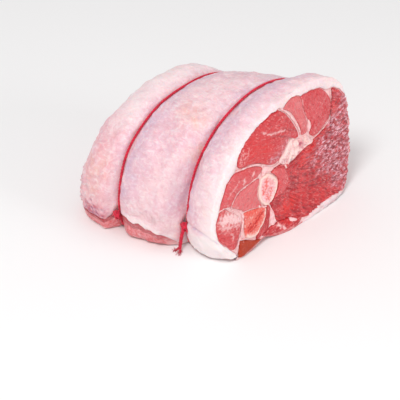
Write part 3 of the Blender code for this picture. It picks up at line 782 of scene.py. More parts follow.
def fat_cover(fat):
    """Closed shell: outer rows from the left pole to the cut edge, rows across the cut, then inner
    rows back. Its long edges and its cut edge are rounded off as quarter circles."""
    x = stations(1.05)
    points, normals = sections(x)["cover"]
    edge = np.minimum(cover_fractions(), 1.0 - cover_fractions()) * COVER_WIDTH
    past = np.clip(1.0 - edge / COVER_ROUND, 0.0, 1.0)
    rounding = EDGE_FAT * 0.5 * (1.0 - np.sqrt(1.0 - past ** 2))
    past = np.clip(x + RIM_ROUND, 0.0, None)
    rim = RIM_ROUND - np.sqrt(np.maximum(RIM_ROUND ** 2 - past ** 2, 0.0))
    sunk = TWINE_SINK * in_notch(x)[:, None] + CUT_SINK * rim[:, None] + rounding
    outer = with_cap(x, points - normals * sunk[..., None], 0.0)
    depth = fat_relief(outer) - knot_dents(outer)
    outer = outer + grid_normals(outer) * depth[..., None]
    outer[..., 2] = np.maximum(outer[..., 2], 0.15)
    inner = inner_fat(x, points, normals) + normals * rounding[None, :, None] * 0.6
    inner = with_cap(x, inner, END_FAT)
    share = np.linspace(0.0, 1.0, 7)[1:-1, None, None]
    across = outer[-1] * (1.0 - share) + inner[-1] * share
    across[..., 0] += 0.5 * np.sin(math.pi * share)[..., 0] + 0.18 * waves(across, 3.0, 31)
    inner = inner[::-1][::HIDDEN_STEP]
    grid = np.concatenate([outer, across, inner])
    rows, columns = grid.shape[:2]
    faces = quads(rows, columns, flip=True)
    poles = [[CAP_X - CAP_LENGTH, *CAP_CENTRE], [CAP_X - CAP_LENGTH + END_FAT, *CAP_CENTRE]]
    first, last = rows * columns, rows * columns + 1
    j = np.arange(columns - 1)
    faces += np.stack([j, j + 1, np.full_like(j, first)], -1).tolist()
    end = (rows - 1) * columns
    faces += np.stack([end + j + 1, end + j, np.full_like(j, last)], -1).tolist()
    for column, flip in ((0, True), (columns - 1, False)):
        ring = [first, *range(column, rows * columns, columns), last]
        faces += edge_wall(ring, len(outer) + len(across) + 1, flip)
    points = np.concatenate([grid.reshape(-1, 3), poles])
    marks = fat_marks(points[:, None])
    cut = np.zeros((rows, columns))
    cut[len(outer) - 2:len(outer) + len(across) + 1] = 0.35
    marks["white"] = np.maximum(marks["white"].ravel(), np.append(cut.ravel(), [0.0, 0.0]))
    return add_mesh("fat_cover_dressed", points, faces, fat_finish(fat), **marks)


def edge_wall(ring, turn, flip):
    """Faces that close an open edge: the ring of its points is zipped from the turn outwards."""
    outer, inner = ring[:turn][::-1], ring[turn:]
    faces, b = [], 0
    for a in range(len(outer) - 1):
        target = round((a + 1) * (len(inner) - 1) / (len(outer) - 1))
        face = [outer[a + 1], outer[a], *inner[b:target + 1]]
        faces.append(face if flip else face[::-1])
        b = target
    return faces


# Lean body: depth and rings of the recess at the cut face, and its gap to the fat at the left end
RECESS = 0.85
RECESS_RINGS = (0.996, 0.985, 0.96, 0.92, 0.87, 0.81, 0.74, 0.65, 0.52, 0.35, 0.15)
END_GAP = 0.1


def lift_corner(x, yz):
    """Sections whose lower back corner is rounded off and lifted near the cut face."""
    near = smooth(-24.0, -4.0, x)[:, None]
    y, z = yz[..., 0], yz[..., 1]
    y = y - CORNER_IN * near * smooth(14.0, 3.0, z) * smooth(118.0, 134.0, y)
    return np.stack([y, np.maximum(z, CORNER_UP * near * smooth(108.0, 128.0, y))], -1)


def front_strip(x, point, out):
    """Bare strip below the fat: gently swollen by a root of a sine, plain in the notches."""
    t = np.linspace(0.0, 1.0, STRIP_COLUMNS)
    swelling = layers(place(x[:, None], point), BARE_STRIP_WAVES)
    bulge = (swelling * np.sin(math.pi * t) ** 0.5 - 0.5)[..., None]
    return point + out * bulge * (1.0 - in_notch(x))[:, None, None]


def bare_back(x, point, out):
    """Bare back of the meat: long soft waves, torn in short ones where it nears the cut face."""
    t = np.linspace(0.0, 1.0, BARE_COLUMNS)
    spot = place(x[:, None], point)
    swelling = (0.9 * waves(spot, 26.0, 43) + 0.45 * waves(spot * [1.0, 1.0, 2.2], 9.0, 44)
                + 0.15 * waves(spot, 3.0, 45))
    torn = smooth(-16.0, 0.0, x)[:, None] * (0.8 * waves(spot * [0.5, 1.0, 2.0], 5.0, 46) - 0.4)
    fade = np.minimum(smooth(0.0, 0.08, t), smooth(1.0, 0.85, t))
    return point + out * ((swelling - 0.6) * fade + torn * fade)[..., None]


def body_underside(x, back_y, front_y):
    """Flat underside, with an arch at the cut face and a shallow bed over the strip of fat."""
    y = np.linspace(back_y, front_y, UNDER_COLUMNS + 2, axis=1)[:, 1:-1]
    fade = np.clip((x + ARCH_REACH) / ARCH_REACH, 0.0, 1.0)[:, None]
    arch = ARCH_RISE * hump(y, ARCH_Y, ARCH_HALF) * fade
    from_strip = np.abs(y - FAT_STRIP["middle"] - FAT_DRIFT * x[:, None])
    ends = (smooth(-112.0, -109.0, x) * smooth(0.0, -6.0, x))[:, None]
    arch = np.maximum(arch, smooth(29.0, 26.5, from_strip) * ends)
    low = (TWINE_BASE + TWINE_SINK) * in_notch(x)[:, None]
    return np.stack([y, np.maximum(arch, low)], -1)


def body_marks(grid, points):
    """Where the body is pale (patches, the recess, below the fat and at the foot), and where it is
    painted with shade (just below the edge of the fat)."""
    rows, columns = grid.shape[:2]
    x, y, z = points.T
    pale = 0.8 * smooth(1.2, 2.0, waves(points * [1.0, 1.0, 2.0], 6.0, 47))
    pale[(rows - len(RECESS_RINGS) + 1) * columns:] = 1.0
    below_fat = smooth(-60.0, -50.0, x - z) * smooth(0.0, -6.0, y) * smooth(-40.0, -43.0, x)
    foot = smooth(7.0, 4.0, np.linalg.norm(points - [0.0, 0.0, 2.0], axis=1))
    pale = np.maximum(np.maximum(pale, below_fat), foot)
    # Painted shade on the top of the strip, just below the edge of the fat
    edge = slice(STRIP_COLUMNS - 4, STRIP_COLUMNS)
    shade = np.zeros((rows, columns))
    shade[:, edge] = 0.45 * smooth(-7.0, -14.0, grid[:, edge, 0])
    return pale, np.append(shade.ravel(), [0.0, 0.0])


def lean_body(lean):
    """Closed body under the fat: loops of bare strip, covered part, bare back and underside, with a
    shallow recess at the cut face that the muscles sit in."""
    x = stations(1.5)
    groups = sections(x)
    sink = TWINE_SINK * in_notch(x)[:, None, None]
    point, out = groups["strip"]
    strip = front_strip(x, point, out) - out * sink
    point, out = groups["cover"]
    covered = (inner_fat(x, point, out) - out * 0.08)[:, ::HIDDEN_STEP]
    point, out = groups["bare"]
    bare = bare_back(x, point, out) - out * sink
    under = body_underside(x, bare[:, -1, 0], strip[:, 0, 0])
    loops = lift_corner(x, np.concatenate([strip, covered, bare, under], axis=1))
    columns = loops.shape[1]
    hidden = np.zeros(columns)
    hidden[STRIP_COLUMNS:STRIP_COLUMNS + covered.shape[1]] = 1.0
    near_end = np.maximum(hidden, smooth(0.75, 1.0, cap_depths()[0])[:, None])
    grid = with_cap(x, loops, END_FAT + END_GAP, near_end)
    yz = grid[-1][:, 1:]
    recess = []
    for scale in RECESS_RINGS:
        inside = FACE_CENTRE + (yz - FACE_CENTRE) * scale
        depth = RECESS * smooth(1.0, 0.985, scale)
        recess.append(np.column_stack([face_x(inside) - depth, inside]))
    grid = np.concatenate([grid, recess])
    rows = len(grid)
    hubs = [[CAP_X - CAP_LENGTH + END_FAT + END_GAP, *CAP_CENTRE],
            [face_x(FACE_CENTRE) - RECESS, *FACE_CENTRE]]
    faces = quads(rows, columns, closed=True, flip=True)
    faces += fan(rows * columns, np.arange(columns))
    faces += fan(rows * columns + 1, (rows - 1) * columns + np.arange(columns), flip=True)
    points = np.concatenate([grid.reshape(-1, 3), hubs])
    pale, hollow = body_marks(grid, points)
    finish = lean_finish("lamb_lean_side", lean, 0.0, **LEAN_KINDS["side"])
    return add_mesh("lean_body_dressed", points, faces, finish, pale=pale, hollow=hollow)


def face_x(yz):
    """How far out the cut face lies at (y, z)."""
    yz = np.asarray(yz)
    return -yz[..., 1] * TILT + lip(yz[..., 0], yz[..., 1])


# Pieces of the cut face. Each has its edge as (y, v), the middle that its surface is drawn
# out from, its lift and swelling, its finish (a kind of lean, or fascia) and the slope of its
# fibres in degrees
MUSCLES = {
    "muscle_upper": {
        "edge": ((8.5, 76.5), (8.3, 80.0), (9.7, 85.5), (14.7, 90.8), (25.0, 98.0), (33.0, 101.2),
                 (43.3, 103.3), (52.0, 104.8), (58.0, 104.4), (63.0, 101.2), (67.5, 97.4),
                 (71.5, 92.2), (75.5, 86.2), (78.3, 81.2), (80.4, 76.7), (81.2, 72.9), (78.5, 71.3),
                 (75.5, 73.2), (72.2, 76.0), (69.0, 73.2), (65.5, 70.3), (61.0, 66.2), (56.0, 62.0),
                 (50.0, 60.8), (44.0, 62.5), (40.0, 64.8), (34.0, 68.3), (28.0, 70.9), (20.0, 73.0),
                 (12.0, 74.2)),
        "middle": (48.0, 88.0), "lift": 0.0, "swell": 1.5, "finish": "red", "fibres": -24.0},
    "muscle_front": {
        "edge": ((-16.4, 50.8), (-13.5, 55.8), (-10.5, 60.4), (-7.5, 65.9), (-5.0, 68.6),
                 (-1.5, 70.8), (3.0, 73.0), (7.0, 73.4), (12.0, 72.4), (20.0, 71.4), (27.0, 69.4),
                 (32.0, 67.2), (36.2, 63.9), (33.0, 60.5), (29.0, 59.4), (22.0, 58.4), (15.0, 57.9),
                 (8.0, 56.9), (2.5, 54.2), (-1.5, 50.6), (-4.5, 48.2), (-9.0, 49.6)),
        "middle": (5.0, 63.0), "lift": 0.0, "swell": 1.0, "finish": "rose", "fibres": -42.0},
    "muscle_ridge": {
        "edge": ((65.0, 102.8), (68.5, 106.4), (72.0, 109.6), (75.5, 107.9), (80.0, 108.8),
                 (85.5, 105.0), (87.2, 100.0), (88.6, 95.0), (90.2, 89.0), (92.0, 84.0),
                 (92.8, 80.0), (91.6, 75.5), (91.2, 71.0), (86.5, 70.4), (84.4, 72.0), (83.9, 77.0),
                 (82.0, 81.7), (79.4, 86.4), (75.5, 93.0), (71.5, 98.2)),
        "middle": (83.0, 90.0), "lift": -0.1, "swell": 0.6, "finish": "salmon", "fibres": -70.0},
    "muscle_back": {
        "edge": ((86.2, 104.8), (91.0, 104.8), (97.0, 104.7), (106.0, 103.7), (112.0, 100.9),
                 (116.3, 97.2), (120.0, 93.0), (122.6, 88.0), (123.7, 83.0), (123.8, 79.5),
                 (122.6, 75.4), (118.6, 71.0), (113.0, 67.8), (107.2, 65.4), (102.0, 64.0),
                 (98.4, 64.4), (95.7, 66.4), (94.3, 69.4), (97.2, 73.0), (96.6, 78.0), (93.8, 81.0),
                 (91.6, 85.0), (89.8, 90.2), (88.0, 97.0), (86.7, 101.0)),
        "middle": (107.0, 86.0), "lift": 0.0, "swell": 1.4, "finish": "brick", "fibres": -62.0},
    "muscle_topside": {
        "edge": ((50.5, 57.6), (56.5, 57.6), (60.0, 55.6), (66.0, 54.4), (73.0, 54.3), (80.0, 56.5),
                 (84.0, 57.6), (90.0, 59.2), (95.0, 59.6), (99.5, 61.6), (103.5, 62.9),
                 (108.5, 64.5), (113.2, 66.6), (120.0, 69.7), (124.5, 74.8), (125.3, 82.0),
                 (124.6, 88.0), (124.5, 94.0), (127.0, 96.0), (131.0, 93.6), (137.0, 88.6),
                 (141.6, 82.8), (144.6, 75.0), (145.3, 68.0), (145.5, 55.0), (144.4, 44.0),
                 (142.6, 33.7), (141.4, 21.7), (139.6, 11.0), (135.5, 3.4), (128.5, -0.6),
                 (121.0, 0.5), (112.6, 0.6), (101.3, -0.5), (91.0, -1.4), (84.0, -2.4),
                 (79.5, -1.0), (73.5, 1.8), (64.0, 6.6), (56.0, 8.6), (48.0, 10.6), (45.8, 14.0),
                 (44.6, 20.0), (42.4, 26.5), (41.4, 30.0), (45.6, 32.4), (49.0, 36.6), (52.2, 41.4),
                 (53.0, 46.6), (50.0, 51.6), (46.8, 55.8)),
        "middle": (116.0, 44.0), "lift": 0.0, "swell": 1.2, "finish": "coarse", "fibres": -30.0},
    "muscle_inner": {
        "edge": ((45.4, 56.4), (51.2, 57.4), (58.3, 55.1), (62.3, 51.0), (64.8, 44.8), (64.2, 38.8),
                 (61.0, 34.6), (55.5, 32.8), (50.0, 32.6), (46.2, 32.6), (49.6, 37.0), (52.6, 41.8),
                 (52.6, 47.0), (48.9, 52.4)),
        "middle": (57.5, 44.5), "lift": 1.0, "swell": 0.5, "finish": "smooth", "fibres": -50.0},
    "muscle_wedge": {
        "edge": ((-3.0, 47.6), (0.8, 51.4), (4.5, 53.9), (8.5, 55.9), (15.0, 57.0), (22.0, 57.2),
                 (28.0, 57.6), (31.9, 56.4), (29.6, 51.4), (28.2, 45.0), (28.5, 40.0), (30.6, 35.8),
                 (32.0, 32.2), (25.6, 33.6), (17.5, 35.7), (10.5, 36.9), (9.3, 38.7), (5.6, 41.2),
                 (1.0, 44.4)),
        "middle": (16.0, 46.5), "lift": 0.0, "swell": 0.6, "finish": "salmon", "fibres": 30.0},
    "muscle_corner": {
        "edge": ((-19.5, 45.0), (-21.4, 40.0), (-21.9, 34.0), (-20.6, 28.1), (-17.5, 22.2),
                 (-12.7, 17.8), (-6.8, 11.6), (-3.3, 10.3), (-0.5, 13.4), (3.0, 18.0), (5.6, 23.6),
                 (6.6, 30.2), (5.0, 36.0), (1.4, 40.0), (-2.8, 43.4), (-7.8, 47.8), (-12.5, 49.8),
                 (-17.0, 48.6)),
        "middle": (-7.0, 32.0), "lift": 0.0, "swell": 1.2, "finish": "red", "fibres": -30.0},
    "muscle_foot": {
        "edge": ((0.2, 1.2), (0.5, 4.5), (1.5, 8.0), (3.7, 14.4), (8.0, 13.0), (11.2, 11.8),
                 (15.0, 9.8), (19.1, 7.5), (22.5, 6.3), (27.6, 5.0), (24.0, 3.9), (21.1, 3.2),
                 (16.0, 2.0), (12.4, 1.3), (5.0, 0.4)),
        "middle": (9.0, 6.4), "lift": 0.1, "swell": 1.5, "finish": "russet", "fibres": 0.0},
    "muscle_band": {
        "edge": ((37.0, 30.4), (41.4, 27.2), (40.2, 19.6), (38.6, 12.2), (36.0, 8.6), (30.9, 7.4),
                 (25.6, 6.2), (21.6, 6.6), (24.2, 11.2), (27.9, 14.4), (31.9, 17.9), (35.1, 22.7)),
        "middle": (34.6, 16.4), "lift": -0.1, "swell": 0.4, "finish": "dark", "fibres": 65.0},
    "muscle_hem": {
        "edge": ((29.5, 6.6), (33.0, 8.0), (38.5, 9.6), (47.5, 10.4), (56.0, 9.0), (64.0, 7.2),
                 (73.5, 3.2), (78.5, 0.6), (75.0, -2.6), (70.0, -3.8), (60.0, -3.6), (50.0, -3.3),
                 (44.0, -1.2), (40.0, 1.0), (35.0, 3.6), (31.0, 5.4)),
        "middle": (53.0, 3.0), "lift": 0.0, "swell": 1.1, "finish": "dark", "fibres": 8.0},
    "leaf_of_fat": {
        "edge": ((92.6, 70.4), (91.9, 75.0), (93.2, 80.4), (94.6, 81.4), (96.0, 78.4), (96.6, 73.3),
                 (94.2, 70.4)),
        "middle": (94.0, 75.0), "lift": 0.3, "swell": 0.4, "finish": "fascia", "fibres": 0.0},
    "bone_cap": {
        "edge": ((33.4, 57.2), (35.4, 62.0), (38.6, 64.4), (42.0, 63.4), (45.4, 60.8), (49.0, 59.2),
                 (47.0, 56.8), (43.0, 57.6), (38.0, 58.2)),
        "middle": (40.5, 60.4), "lift": 0.2, "swell": 0.6, "finish": "fascia", "fibres": 0.0},
    "fat_chip": {
        "edge": ((41.4, 26.6), (43.8, 23.4), (45.6, 17.4), (46.6, 11.2), (43.8, 9.2), (39.2, 11.6),
                 (39.3, 18.1)),
        "middle": (42.6, 16.6), "lift": 0.4, "swell": 0.5, "finish": "fascia", "fibres": 0.0},
    "hem_chip": {
        "edge": ((60.0, 7.6), (64.0, 7.4), (68.6, 4.6), (71.4, 2.0), (68.4, 1.2), (65.0, 2.2),
                 (62.6, 3.0), (61.0, 5.4)),
        "middle": (65.8, 4.2), "lift": 0.9, "swell": 0.3, "finish": "fascia", "fibres": 0.0},
    "corner_chip": {
        "edge": ((26.5, 37.0), (32.0, 31.0), (36.8, 30.6), (37.6, 29.2), (33.6, 29.6),
                 (28.4, 31.2)),
        "middle": (31.0, 32.0), "lift": 0.0, "swell": 0.2, "finish": "fascia", "fibres": 0.0},
}
# Half width and path of each white band between the muscles
FASCIAE = (
    (0.7, ((3.5, 75.0), (12.0, 73.4), (20.0, 72.2), (28.0, 70.2), (34.0, 67.7), (39.0, 64.4))),
    (0.9, ((60.5, 105.0), (66.0, 100.6), (70.0, 97.0), (74.0, 91.6), (78.0, 85.4), (81.2, 80.0),
           (82.7, 76.0), (83.0, 72.0))),
    (0.65, ((-3.9, 46.4), (0.4, 52.2), (4.4, 55.1), (8.4, 56.7), (18.9, 57.9), (27.2, 58.6),
            (31.5, 58.4))),
    (1.1, ((4.0, 41.4), (7.6, 38.4), (9.2, 34.6), (8.8, 29.4), (6.9, 24.0), (5.6, 18.2),
           (2.6, 15.0), (-1.8, 8.8))),
    (0.7, ((-18.4, 49.4), (-12.0, 50.6), (-6.5, 48.6), (-1.0, 43.8), (4.0, 41.2))),
    (0.4, ((123.8, 95.7), (123.3, 88.0), (124.3, 80.4), (123.2, 74.6), (119.3, 70.1), (113.9, 67.0),
           (107.2, 64.8), (100.6, 63.2), (96.6, 64.4), (94.0, 68.0))),
    (0.6, ((2.0, 15.8), (7.0, 14.6), (12.0, 12.8), (18.0, 9.8), (22.0, 7.6))),
    (0.8, ((46.0, 59.8), (51.0, 58.9), (57.0, 59.6))),
    (0.4, ((27.6, 7.2), (24.0, 3.6), (18.0, 2.2))),
)
# Marks on the muscles: kind, strength, reach and path. The hollow kind is painted shade in clefts,
# seams and dips.
FACE_MARKS = (
    ("pale", 0.75, 0.7, ((37.2, 94.3), (45.0, 89.6), (54.3, 87.3), (62.7, 85.4))),
    ("hollow", 0.45, 0.9, ((64.0, 86.2), (72.1, 81.8), (79.4, 77.6))),
    ("hollow", 0.35, 0.8, ((49.4, 86.0), (61.0, 81.0), (71.4, 74.9))),
    ("pale", 0.5, 0.35, ((10.5, 79.0), (13.0, 85.0), (16.0, 89.0))),
    ("pale", 0.5, 0.35, ((12.6, 77.6), (15.6, 86.0))),
    ("pale", 0.45, 0.35, ((15.0, 77.4), (18.6, 87.6))),
    ("pale", 0.45, 0.35, ((17.8, 77.6), (21.6, 88.0))),
    ("pale", 0.45, 0.35, ((10.0, 82.4), (15.0, 81.0), (19.0, 82.4))),
    ("pale", 0.4, 0.35, ((13.0, 86.0), (20.0, 84.0), (24.0, 86.0))),
    ("glint", 0.40, 4.5, ((59.6, 67.6), (66.0, 74.0))),
    ("glint", 0.45, 3.5, ((48.0, 65.5), (54.0, 66.0))),
    ("hollow", 0.35, 2.0, ((44.0, 66.5), (58.0, 65.5))),
    ("pale", 0.9, 1.3, ((13.0, 62.4), (13.0, 64.2))),
    ("pale", 1.0, 0.7, ((24.9, 65.6), (23.3, 63.6))),
    ("pale", 0.4, 0.7, ((-6.0, 58.0), (2.0, 62.5), (8.0, 66.0))),
    ("pale", 0.65, 0.6, ((88.1, 99.8), (88.8, 93.5), (90.1, 87.7), (92.2, 82.5))),
    ("hollow", 0.5, 0.8, ((66.0, 43.4), (75.3, 36.9))),
    ("hollow", 0.45, 2.2, ((68.0, 35.3), (70.0, 34.6))),
    ("hollow", 0.45, 0.8, ((80.0, 44.0), (84.0, 42.5))),
    ("hollow", 0.35, 1.2, ((60.6, 20.4), (63.0, 20.8))),
    ("vivid", 0.85, 5.5, ((58.0, 17.5), (68.0, 21.0))),
    ("vivid", 0.55, 5.0, ((84.0, 49.6), (97.4, 56.5))),
    ("vivid", 0.30, 8.0, ((78.0, 22.0), (104.0, 10.0))),
    ("vivid", 0.55, 9.0, ((24.0, 84.0), (40.0, 80.0))),
    ("hollow", 0.3, 2.0, ((46.0, 28.0), (54.0, 24.0))),
    ("hollow", 0.55, 0.7, ((64.4, 55.2), (67.6, 54.6), (76.0, 54.4), (84.0, 56.0))),
    ("hollow", 0.6, 0.7, ((124.8, 96.0), (124.6, 91.0), (125.4, 86.0))),
    ("hollow", 0.5, 0.6, ((118.0, 68.6), (112.0, 65.6), (107.0, 64.2))),
    ("pale", 1.1, 5.0, ((-13.0, 40.5), (-8.0, 41.5), (-3.0, 38.5), (1.8, 34.8))),
    ("pale", 0.7, 3.0, ((-14.0, 36.0), (-8.0, 33.0))),
    ("hollow", 0.5, 0.8, ((-2.4, 42.4), (3.4, 37.4), (5.6, 30.6), (4.8, 23.8), (0.6, 16.8))),
    ("pale", 0.6, 0.8, ((-6.0, 20.0), (-4.6, 24.0), (-7.4, 27.0))),
    ("pale", 0.8, 1.1, ((47.0, 8.6), (55.4, 1.4))),
    ("pale", 0.35, 1.0, ((42.0, 1.6), (58.0, -1.6), (66.0, -2.4))),
    ("vivid", 0.6, 2.2, ((56.0, 6.6), (60.4, 5.0))),
    ("hollow", 0.85, 0.7, ((67.1, 43.0), (71.5, 40.2), (76.0, 37.4))),
    ("hollow", 0.75, 0.7, ((81.3, 37.3), (95.9, 33.6), (115.4, 31.7), (129.6, 29.2))),
    ("hollow", 0.75, 0.7, ((69.5, 35.5), (84.8, 28.9), (95.3, 27.0), (114.8, 25.0))),
    ("hollow", 0.70, 0.7, ((87.6, 24.5), (107.7, 19.0), (123.2, 18.1))),
    ("hollow", 0.70, 0.6, ((87.8, 50.2), (101.7, 50.7), (117.1, 53.0))),
    ("hollow", 0.75, 0.6, ((81.9, 44.5), (96.9, 44.6), (114.3, 45.2), (134.2, 45.6))),
    ("hollow", 0.65, 0.6, ((74.0, 46.0), (90.0, 40.0), (110.0, 38.5), (130.0, 37.0))),
)
# How deep the muscles go into the body
FACE_DEPTH = 1.3
# Height and place of the line where the big muscle is torn
TORN_LINE = ((-2.0, 123.0), (6.0, 119.5), (20.0, 114.0), (34.0, 100.0), (46.0, 92.0), (53.0, 94.0),
             (58.0, 100.0), (62.0, 110.0), (72.0, 122.0), (82.0, 130.0), (96.0, 142.0))


def on_face(edge):
    """Place (y, z) on the face of a point given on its plain plane, along the line of sight."""
    edge = np.asarray(edge, float)
    flat = np.stack([edge[:, 0], edge[:, 1] * math.cos(math.atan(TILT))], 1)
    out, across, up = (-way for way in CAMERA_WAY)
    spot = flat.copy()
    for _ in range(8):
        t = lip(spot[:, 0], spot[:, 1]) / (out + up * TILT)
        spot = flat + np.stack([across * t, up * t], 1)
    return spot


def keep_inside(ring, loop):
    """Ring of points drawn in to stay inside a loop, both seen from the middle of the face."""
    away, rim = ring - FACE_CENTRE, loop - FACE_CENTRE
    angle = np.arctan2(rim[:, 1], rim[:, 0])
    order = np.argsort(angle)
    reach = np.interp(np.arctan2(away[:, 1], away[:, 0]), angle[order],
                      np.linalg.norm(rim, axis=1)[order], period=2.0 * math.pi)
    far = np.linalg.norm(away, axis=1)
    return FACE_CENTRE + away * np.minimum(1.0, (reach - 0.5) / far)[:, None]


def face_loop():
    """Loop of the lean at the cut face, from the front foot round to the front foot."""
    x = np.array([-14.0, 0.0])
    groups = sections(x)
    y = np.linspace(126.0, 2.0, 60)
    under = np.stack([y, ARCH_RISE * hump(y, ARCH_Y, ARCH_HALF)], 1)
    covered = inner_fat(x, *groups["cover"])[1]
    loop = np.concatenate([groups["strip"][0][1], covered, groups["bare"][0][1], under])
    return lift_corner(np.zeros(1), loop[None])[0]


def cut_piece(name, ring, middle, rings, surface, walls, material):
    """Closed piece at the cut face: its surface is the ring drawn in to its middle in even steps.
    The surface function gives heights and marks; walls are (depth, scale) rows that go into the
    meat, closed by a hub."""
    area = 0.5 * np.sum(ring[:, 0] * np.roll(ring[:, 1], -1) - np.roll(ring[:, 0], -1) * ring[:, 1])
    ring = ring if area > 0 else ring[::-1]
    count = len(ring)
    t = np.linspace(0.0, 1.0, rings + 1)[1:]
    reach = np.linalg.norm(ring - middle, axis=1)
    yz = middle + (ring - middle) * t[:, None, None]
    yz = np.concatenate([np.asarray(middle)[None], yz.reshape(-1, 2)])
    radius = np.append([0.0], np.repeat(t, count))
    edge = np.append([reach.min()], ((1.0 - t)[:, None] * reach).ravel())
    out, marks = surface(yz, radius, edge)
    rows = [np.column_stack([face_x(yz) + out, yz])]
    for depth, scale in walls:
        inside = middle + (ring - middle) * scale
        lean = np.clip(1.0 - depth / TILT_REACH, 0.0, 1.0)
        rows.append(np.column_stack([face_x(inside) * lean - depth, inside]))
    points = np.concatenate(rows + [[[face_x(middle) * lean - depth, *middle]]])
    grid_rows = rings + len(walls)
    faces = quads(grid_rows, count, 1, closed=True, flip=True)
    faces += fan(0, 1 + np.arange(count))
    faces += fan(len(points) - 1, 1 + (grid_rows - 1) * count + np.arange(count), flip=True)
    extra = len(points) - len(yz)
    marks = {key: np.append(value, np.repeat(value[-1], extra)) for key, value in marks.items()}
    return add_mesh(name, points, faces, material, **marks)


def fibre_frame(yz, slope):
    """Places measured along and across fibres of a given slope."""
    a = math.radians(slope)
    return np.stack([yz[:, 0] * math.cos(a) + yz[:, 1] * math.sin(a),
                     -yz[:, 0] * math.sin(a) + yz[:, 1] * math.cos(a)], 1)


def face_marks(yz):
    """Strength of each kind of mark on the face: the strongest of its paths, each a soft line."""
    marks = {key: np.zeros(len(yz)) for key in ("pale", "hollow", "glint", "vivid")}
    wander = layers(yz, MARK_WANDER)
    for kind, strength, reach, path in FACE_MARKS:
        away = line_distance(yz, on_face(path))[0] + wander * min(0.5 * reach + 0.15, 2.2)
        marks[kind] = np.maximum(marks[kind], strength * hump(away, 0.0, reach))
    return marks


def coarse_grain(yz):
    """Relief and marks of the big muscle: bundles whose slope turns from falling to rising, with
    clefts between them, and torn skin in fine crooked ridges at the back. Clefts and the gaps
    between ridges are painted with shade, and the torn skin is painted pale, lightest on the ridges
    as a painted highlight."""
    rising = smooth(28.0, 62.0, yz[:, 1])
    up, down = fibre_frame(yz, 9.0), fibre_frame(yz, -34.0)
    bundle = (rising * waves(up * [0.25, 1.0], 2.8, 62)
              + (1.0 - rising) * waves(down * [0.25, 1.0], 2.8, 63))
    cleft = smooth(0.8, 2.0, -bundle)
    line = np.interp(yz[:, 1], *np.array(TORN_LINE).T)
    torn = smooth(line - 7.0, line + 11.0, yz[:, 0] + 4.0 * waves(yz, 15.0, 61))
    crook = waves(up * [0.34, 1.0], 3.2, 64)
    ridge = np.exp(-(crook / 0.45) ** 2)
    gap = smooth(0.8, 1.6, np.abs(crook))
    patchy = np.clip(0.9 + 0.4 * waves(yz, 8.0, 66), 0.0, 1.0)
    flaps = 0.5 * ridge - 0.3 * gap + 0.3 * waves(yz, 6.0, 65)
    out = (1.0 - torn) * (0.3 * bundle - 0.1 * cleft) + torn * flaps
    # Pale torn skin, lightest on the ridges as a painted highlight
    glint = torn * patchy * np.clip(0.35 + 0.65 * ridge, 0.0, 1.0)
    return out, np.maximum(0.45 * cleft * (1.0 - torn), 0.3 * torn * gap), glint


def muscle_surface(muscle):
    """Surface of a muscle, as cut_piece wants it."""
    def surface(yz, radius, edge):
        """Swells as 1 - radius ** 3, rounds off within 1.4 mm of its edge, with relief of waves
        drawn out along the fibres."""
        flow = fibre_frame(yz, muscle["fibres"])
        relief = (0.10 * waves(flow * [0.35, 1.0], 2.0, 52)
                  + 0.13 * waves(flow * [0.5, 1.0], 5.0, 53))
        marks = face_marks(yz)
        if muscle["finish"] == "coarse":
            coarse, hollow, glint = coarse_grain(yz)
            relief = relief + coarse
            marks["hollow"] = np.maximum(marks["hollow"], hollow)
            marks["glint"] = np.maximum(marks["glint"], glint)
        # Where shade is painted, the surface is also sunk a little
        relief = relief - 0.45 * marks["hollow"]
        swelling = muscle["lift"] + muscle["swell"] * (1.0 - radius ** 3)
        rounding = (muscle["lift"] + 1.0) * smooth(1.4, 0.0, edge) ** 2
        return swelling - rounding + np.maximum(relief, -0.6) * smooth(0.0, 1.0, edge), marks
    return surface


def add_muscles(lean):
    """The muscles of the cut face, each a closed piece with its own edge, swelling and fibres."""
    loop = face_loop()
    pale = pale_finish("lamb_fascia", lean.fascia, lean.pink)
    pieces = []
    for name, muscle in MUSCLES.items():
        edge = on_face(curve(muscle["edge"], 60, closed=True))
        kind = muscle["finish"]
        size = 0.6 if kind == "coarse" else 0.75
        rings = int(max(0.5 * np.linalg.norm(np.ptp(edge, axis=0)) / size, 8))
        count = int(min(along(np.concatenate([edge, edge[:1]]))[-1] / size, 520))
        ring = keep_inside(on_face(curve(muscle["edge"], count, closed=True)), loop)
        if kind == "fascia":
            material = pale
        else:
            material = lean_finish(f"lamb_{name}", lean, muscle["fibres"], **LEAN_KINDS[kind])
        pieces.append(cut_piece(f"{name}_dressed", ring, on_face([muscle["middle"]])[0], rings,
                                muscle_surface(muscle), ((FACE_DEPTH, 0.99),), material))
    pieces.append(add_fasciae(pale))
    return pieces


